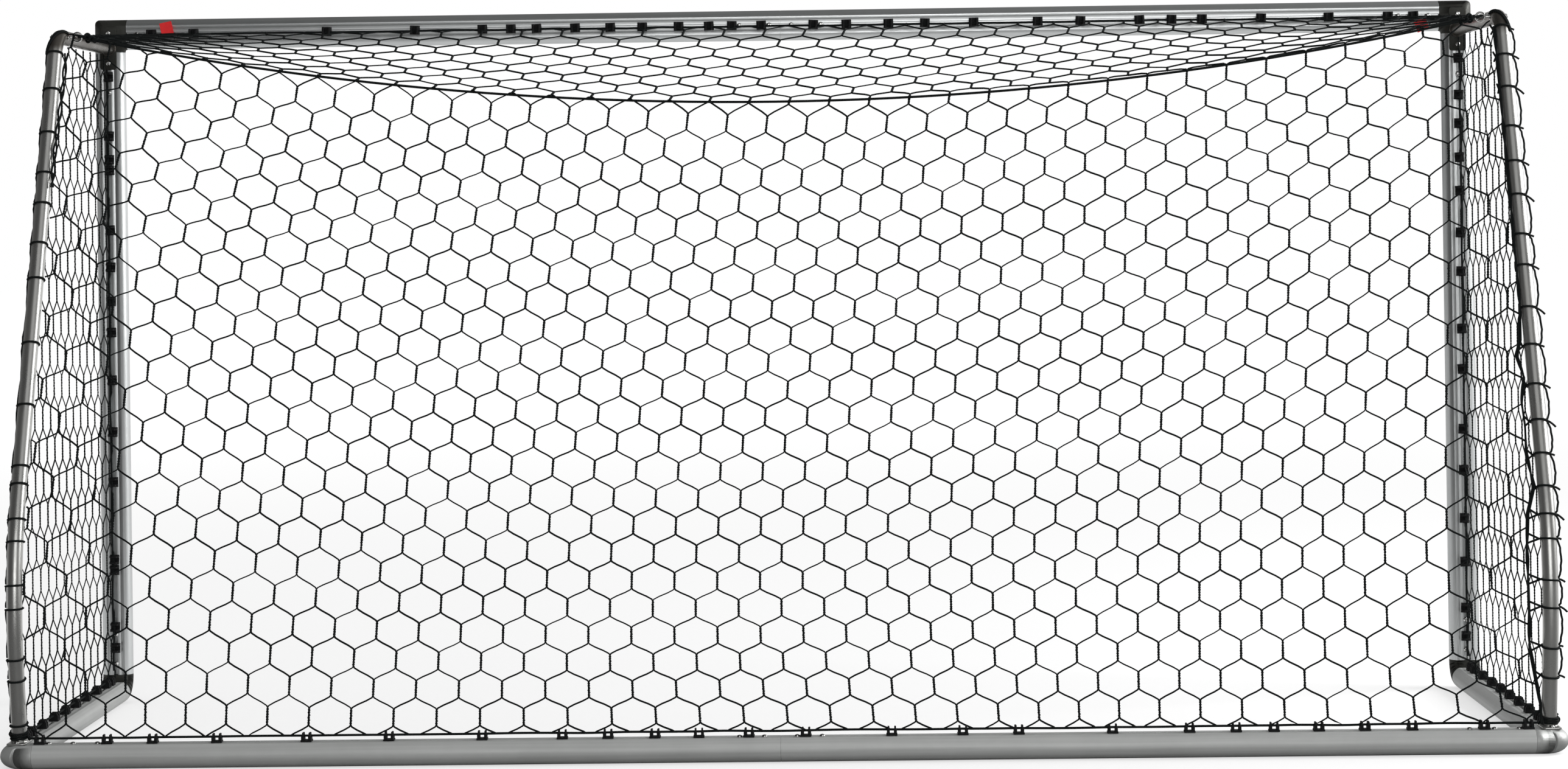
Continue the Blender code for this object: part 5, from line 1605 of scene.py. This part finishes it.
@dataclass
class Lacings:
    """The cords tied down the legs: a tight hoop round the tube at each height, and a run to the next hoop."""

    shop: Workshop
    net: GoalNet
    radius: float = 0.0026
    turn_rise: float = 0.006
    bend_drop: float = 0.047
    tie_spread: float = 0.012
    end_x: float = 1.842
    hoops: dict[Side, tuple[int, ...]] = field(default_factory=lambda: {
        Side.RIGHT: (1777, 1681, 1568, 1464, 1386, 1285, 1196, 1036, 884, 736, 693, 610, 557, 452, 395, 272, 219, 108),
        Side.LEFT: (1789, 1717, 1633, 1531, 1442, 1357, 1257, 1180, 1076, 984, 888, 802, 722, 645, 580, 522, 424, 358,
                    261, 188),
    })
    slack: dict[Side, float] = field(default_factory=lambda: {Side.RIGHT: 0.0015, Side.LEFT: 0.008})

    @property
    def reach(self) -> float:
        """Distance of a tight cord from the tube's centre line."""
        return GOAL.tube_radius + self.radius

    def hoop(self, side: Side, height: float) -> list[Vector]:
        """One tight turn round the tube, from its outer side round the back."""
        middle, down, behind = LEG_CURVE.frame(side, height)
        points = []
        for step in range(17):
            angle = math.tau * step / 16
            square = 1 + 0.05 * math.cos(4 * angle + math.pi)
            around = X_AXIS * side.value * math.cos(angle) + behind * math.sin(angle)
            points.append(middle + around * self.reach * square + down * self.turn_rise * (step / 16 - 0.5))
        return points

    def run(self, side: Side, high: float, low: float) -> list[Vector]:
        """The cord's way down to the next hoop, on the outer and rear side of the tube."""
        points = []
        for step in range(1, 9):
            share = step / 9
            middle, _, behind = LEG_CURVE.frame(side, high + (low - high) * share)
            sag = self.slack[side] * math.sin(math.pi * share) + 0.0008 * math.sin(2.4 * step + 90 * high)
            angle = 0.5 * math.sin(math.pi * share) * (1 if side is Side.RIGHT else 0.3)
            around = X_AXIS * side.value * math.cos(angle) + behind * math.sin(angle)
            points.append(middle + around * (self.reach + max(0.0, sag)))
        return points

    def tail(self, side: Side, height: float, length: float) -> list[Vector]:
        """A cut end that sticks out from a hoop."""
        middle, down, behind = LEG_CURVE.frame(side, height)
        start = middle + X_AXIS * side.value * self.reach
        way = (X_AXIS * side.value + behind * 0.3 - down * (0.5 - 40 * length)).normalized()
        return [start + way * length * step / 4 + down * length * 0.3 * (step / 4) ** 2 for step in range(5)]

    def over_bend(self, side: Side, way: int) -> list[Vector]:
        """One of the two cords from the eye over the tube's top bend to the first hoop."""
        points = []
        for step in range(13):
            share = step / 12
            height = GOAL.tube_z - self.bend_drop * share ** 2
            around = -math.pi * (0.15 + 0.70 * share) + 0.12 * way
            middle = Vector((side.value * GOAL.post_x, LEG_CURVE.back(height), height))
            slope = math.asin(min(1.0, (height - LEG_CURVE.bends[0][0].z) / GOAL.bend_radius))
            outer = Vector((0, math.cos(slope), math.sin(slope)))
            points.append(middle + self.reach * (outer * -math.sin(around) - X_AXIS * side.value * math.cos(around)))
        return points

    def tie(self, side: Side, height: float) -> list[list[Vector]]:
        """Two short cords from a hoop's inner side to the net's edge, spread like a V."""
        middle, _, behind = LEG_CURVE.frame(side, height)
        start = middle - X_AXIS * side.value * self.reach + behind * 0.006
        ties = []
        for way in (-1, 1):
            target = height + way * self.tie_spread
            end = self.net.sheet(side.value * self.net.hem_x(target), target)
            ties.append([start.lerp(end, step / 5) for step in range(6)])
        return ties

    def build(self) -> None:
        """Make both cords."""
        for side in Side:
            heights = [value / 1000 for value in self.hoops[side]]
            route: list[Vector] = []
            routes = [route]
            for place, height in enumerate(heights):
                route += self.hoop(side, height)
                if place + 1 < len(heights):
                    route += self.run(side, height, heights[place + 1])
                if side is Side.LEFT:
                    routes += self.tie(side, height)
                    routes.append(self.tail(side, height, 0.010 + 0.006 * (place % 3)))
            foot = GOAL.bar_depth + 0.016
            for turn in range(3):
                routes.append(self.hoop(side, foot + self.turn_rise * turn))
            middle, _, behind = LEG_CURVE.frame(side, foot)
            knot = middle + X_AXIS * side.value * 0.018 + behind * 0.018
            routes.append(self.net.knot(knot, self.net.knot_sizes[0], 0.7 * side.value))
            start = middle + behind * 0.021
            end = Vector((side.value * self.end_x, GOAL.rear_y, GOAL.bar_depth + 0.0115))
            routes.append([start.lerp(end, step / 8) + Z_AXIS * 0.006 * math.sin(math.pi * step / 8)
                           for step in range(9)])
            routes += [self.over_bend(side, way) for way in (-1, 1)]
            self.shop.ropes(f"{side.label}_tied_lacing", f"{side.label}_lacing", routes, self.radius)


@dataclass
class Tags:
    """The two blank red tags on the crossbar: the place along it and the rise above its middle, and the tilt."""

    shop: Workshop
    size: float = 0.034
    thickness: float = 0.0009
    out: float = 0.0150
    tilts: dict[Side, float] = field(default_factory=lambda: {
        Side.LEFT: math.radians(20), Side.RIGHT: math.radians(12)})
    places: dict[Side, tuple[float, float]] = field(default_factory=lambda: {
        Side.LEFT: (-1.771, -0.0260), Side.RIGHT: (1.706, 0.0146)})

    def build(self) -> None:
        """Make both tags as slightly curled squares of tape."""
        for side in Side:
            bm = bmesh.new()
            bmesh.ops.create_grid(bm, x_segments=10, y_segments=10, size=self.size / 2)
            bmesh.ops.rotate(bm, matrix=Matrix.Rotation(-math.pi / 2, 3, "X"), verts=bm.verts)
            for vert in bm.verts:
                vert.co.y = 0.0006 * math.sin(vert.co.z * 140) + 0.0005 * math.cos(vert.co.x * 110)
            bmesh.ops.solidify(bm, geom=bm.verts[:] + bm.edges[:] + bm.faces[:], thickness=self.thickness)
            along, rise = self.places[side]
            place = CROSSBAR @ Matrix.Translation((-rise, self.out, along)) @ Matrix.Rotation(self.tilts[side], 4, "Y")
            bmesh.ops.transform(bm, matrix=place, verts=bm.verts)
            self.shop.piece(f"{side.label}_red_tag", face_outwards(bm), Slot.TAG, f"{side.label}_tag")


# Studio


@dataclass(frozen=True)
class SoftBox:
    """An area lamp that is aimed at the goal."""

    name: str
    position: tuple[float, float, float]
    width: float
    height: float
    power: float

    def place(self) -> None:
        """Put the lamp into the scene."""
        data = bpy.data.lights.new(self.name, "AREA")
        data.shape = "RECTANGLE"
        data.size, data.size_y, data.energy = self.width, self.height, self.power
        aim = (Vector((0, 0, 0.9)) - Vector(self.position)).to_track_quat("-Z", "Y").to_matrix().to_4x4()
        add_object(self.name, data).matrix_world = Matrix.Translation(self.position) @ aim


@dataclass
class Studio:
    """Camera, soft lamps, white world and pale floor.

    The fades dim the white world in reflections from one side to the other, above the goal and behind it: axis, the
    direction's share where each begins and ends, and the lowest brightness.
    """

    focal_pixels: float = 5573.8
    picture_width: int = 2576
    film: float = 36.0
    position: tuple[float, float, float] = (-0.1762, 8.8567, 1.3268)
    yaw: float = -0.019098
    pitch: float = 0.003777
    roll: float = 0.013438
    centre: tuple[float, float] = (-4.62, 295.25)
    ambient: float = 0.50
    floor_glow: float = 0.58
    floor_half: float = 60.0
    floor_tones: tuple[float, float] = (0.48, 0.86)
    floor_reach: float = 15.0
    bounce: tuple[float, float] = (0.45, 0.12)
    fades: tuple[tuple[str, float, float, float], ...] = (
        ("X", -0.30, 0.45, 0.10), ("Y", -0.05, 0.50, 0.12), ("Z", 0.15, 0.60, 0.14))
    lamps: tuple[SoftBox, ...] = (
        SoftBox("key_from_the_right", (-6.0, -0.5, 3.2), 3.0, 3.0, 260),
        SoftBox("soft_box_behind_the_camera", (-2.0, 12.0, 2.6), 7.5, 4.0, 250),
        SoftBox("overhead_light", (-1.0, 5.0, 6.0), 6.0, 6.0, 50))

    def camera(self) -> None:
        """Place the camera at the photograph's viewpoint."""
        right = Vector((-math.cos(self.yaw), math.sin(self.yaw), 0))
        level = Vector((-math.sin(self.yaw), -math.cos(self.yaw), 0))
        up = Z_AXIS * math.cos(self.pitch) - level * math.sin(self.pitch)
        forward = Z_AXIS * math.sin(self.pitch) + level * math.cos(self.pitch)
        rolled_right = right * math.cos(self.roll) - up * math.sin(self.roll)
        rolled_up = right * math.sin(self.roll) + up * math.cos(self.roll)
        data = bpy.data.cameras.new("photo_camera")
        data.sensor_width = self.film
        data.lens = self.focal_pixels * self.film / self.picture_width
        data.shift_x, data.shift_y = (-offset / self.picture_width for offset in self.centre)
        data.clip_end = 200
        camera = add_object("photo_camera", data)
        basis = Matrix((rolled_right, rolled_up, -forward)).transposed().to_4x4()
        camera.matrix_world = Matrix.Translation(self.position) @ basis
        bpy.context.scene.camera = camera

    def world(self) -> None:
        """White to the camera and in reflections, softer as a source of light."""
        world = bpy.data.worlds.new("white_studio")
        world.use_nodes = True
        bpy.context.scene.world = world
        nodes = Nodes(world.node_tree)
        world.node_tree.nodes.clear()
        path = nodes.add("LightPath")
        seen = nodes.math("MAXIMUM", path.outputs["Is Camera Ray"], path.outputs["Is Glossy Ray"])
        seen = nodes.math("MAXIMUM", seen, path.outputs["Is Transmission Ray"])
        toward = nodes.add("SeparateXYZ", {0: nodes.add("TexCoord").outputs["Generated"]})
        shade = None
        for axis, first, last, low in self.fades:
            part = nodes.add("MapRange", {"Value": toward.outputs[axis], "From Min": first, "From Max": last,
                                          "To Min": 1.0, "To Max": low}).outputs[0]
            shade = part if shade is None else nodes.math("MULTIPLY", shade, part)
        bright = nodes.math("MAXIMUM", shade, path.outputs["Is Camera Ray"])
        soft = nodes.add("Background", {"Color": (1, 1, 1, 1), "Strength": self.ambient})
        white = nodes.add("Background", {"Color": (1, 1, 1, 1), "Strength": bright})
        mix = nodes.add("MixShader", {0: seen, 1: soft.outputs[0], 2: white.outputs[0]})
        nodes.add("OutputWorld", {"Surface": mix.outputs[0]})

    def floor_finish(self) -> bpy.types.Material:
        """The floor's material: near white to the camera, and plainer as a source of light and in reflections."""
        bench = Bench("pale_floor")
        bench.feed("Roughness", 0.9)
        bench.feed("Specular IOR Level", 0.0)
        path, place = bench.add("LightPath"), bench.where.outputs["Object"]
        seen, mirrored = path.outputs["Is Camera Ray"], path.outputs["Is Glossy Ray"]
        away = bench.add("VectorMath", {0: place}, operation="LENGTH").outputs["Value"]
        near = bench.add("MapRange", {"Value": away, "From Min": 0.0, "From Max": self.floor_reach,
                                      "To Min": self.floor_tones[0], "To Max": self.floor_tones[1]},
                         interpolation_type="SMOOTHSTEP").outputs[0]
        dim = bench.add("MapRange", {"Value": mirrored, "To Min": self.bounce[0], "To Max": self.bounce[1]}).outputs[0]
        bench.feed("Base Color", bench.add("MapRange", {"Value": seen, "To Min": dim, "To Max": near}).outputs[0])
        along = bench.add("SeparateXYZ", {0: place}).outputs["Y"]
        within = bench.ramp(along, 0.60, -0.10)
        seen = bench.math("MAXIMUM", seen, bench.math("MULTIPLY", mirrored, within))
        glow = bench.add("Emission", {"Color": (1, 1, 1, 1), "Strength": bench.math("MULTIPLY", seen, self.floor_glow)})
        both = bench.add("AddShader", {0: bench.shader.outputs[0], 1: glow.outputs[0]})
        output = next(node for node in bench.tree.nodes if node.type == "OUTPUT_MATERIAL")
        bench.tree.links.new(both.outputs[0], output.inputs["Surface"])
        return bench.material

    def floor(self) -> None:
        """A plain pale floor that keeps the goal's shadow."""
        bm = bmesh.new()
        bmesh.ops.create_grid(bm, x_segments=1, y_segments=1, size=self.floor_half)
        mesh = bpy.data.meshes.new("pale_floor")
        bm.to_mesh(mesh)
        bm.free()
        mesh.materials.append(self.floor_finish())
        add_object("pale_floor", mesh)

    def build(self) -> None:
        """Set up the whole studio."""
        bpy.context.scene.view_settings.view_transform = "Standard"
        self.camera()
        for lamp in self.lamps:
            lamp.place()
        self.world()
        self.floor()


def main() -> None:
    """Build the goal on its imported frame."""
    logging.basicConfig(level=logging.INFO, format="%(name)s %(message)s")
    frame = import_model()
    finishes = Finishes()
    Studio().build()
    shop = Workshop(finishes)
    for name in ("crossbar_joint_sleeve", "rear_bar_joint_sleeve"):
        sleeve = frame["nodes"][name]
        sleeve.data.materials.clear()
        sleeve.data.materials.append(finishes.by_slot[Slot.BAR])
    net = GoalNet(shop)
    for part in (FrameBars(shop), CornerCastings(shop), BoltRows(shop), Stanchions(shop), ClipRows(shop),
                 net, Lacings(shop, net), Tags(shop)):
        LOG.info("building %s", type(part).__name__)
        part.build()


if __name__ == "__main__":
    main()
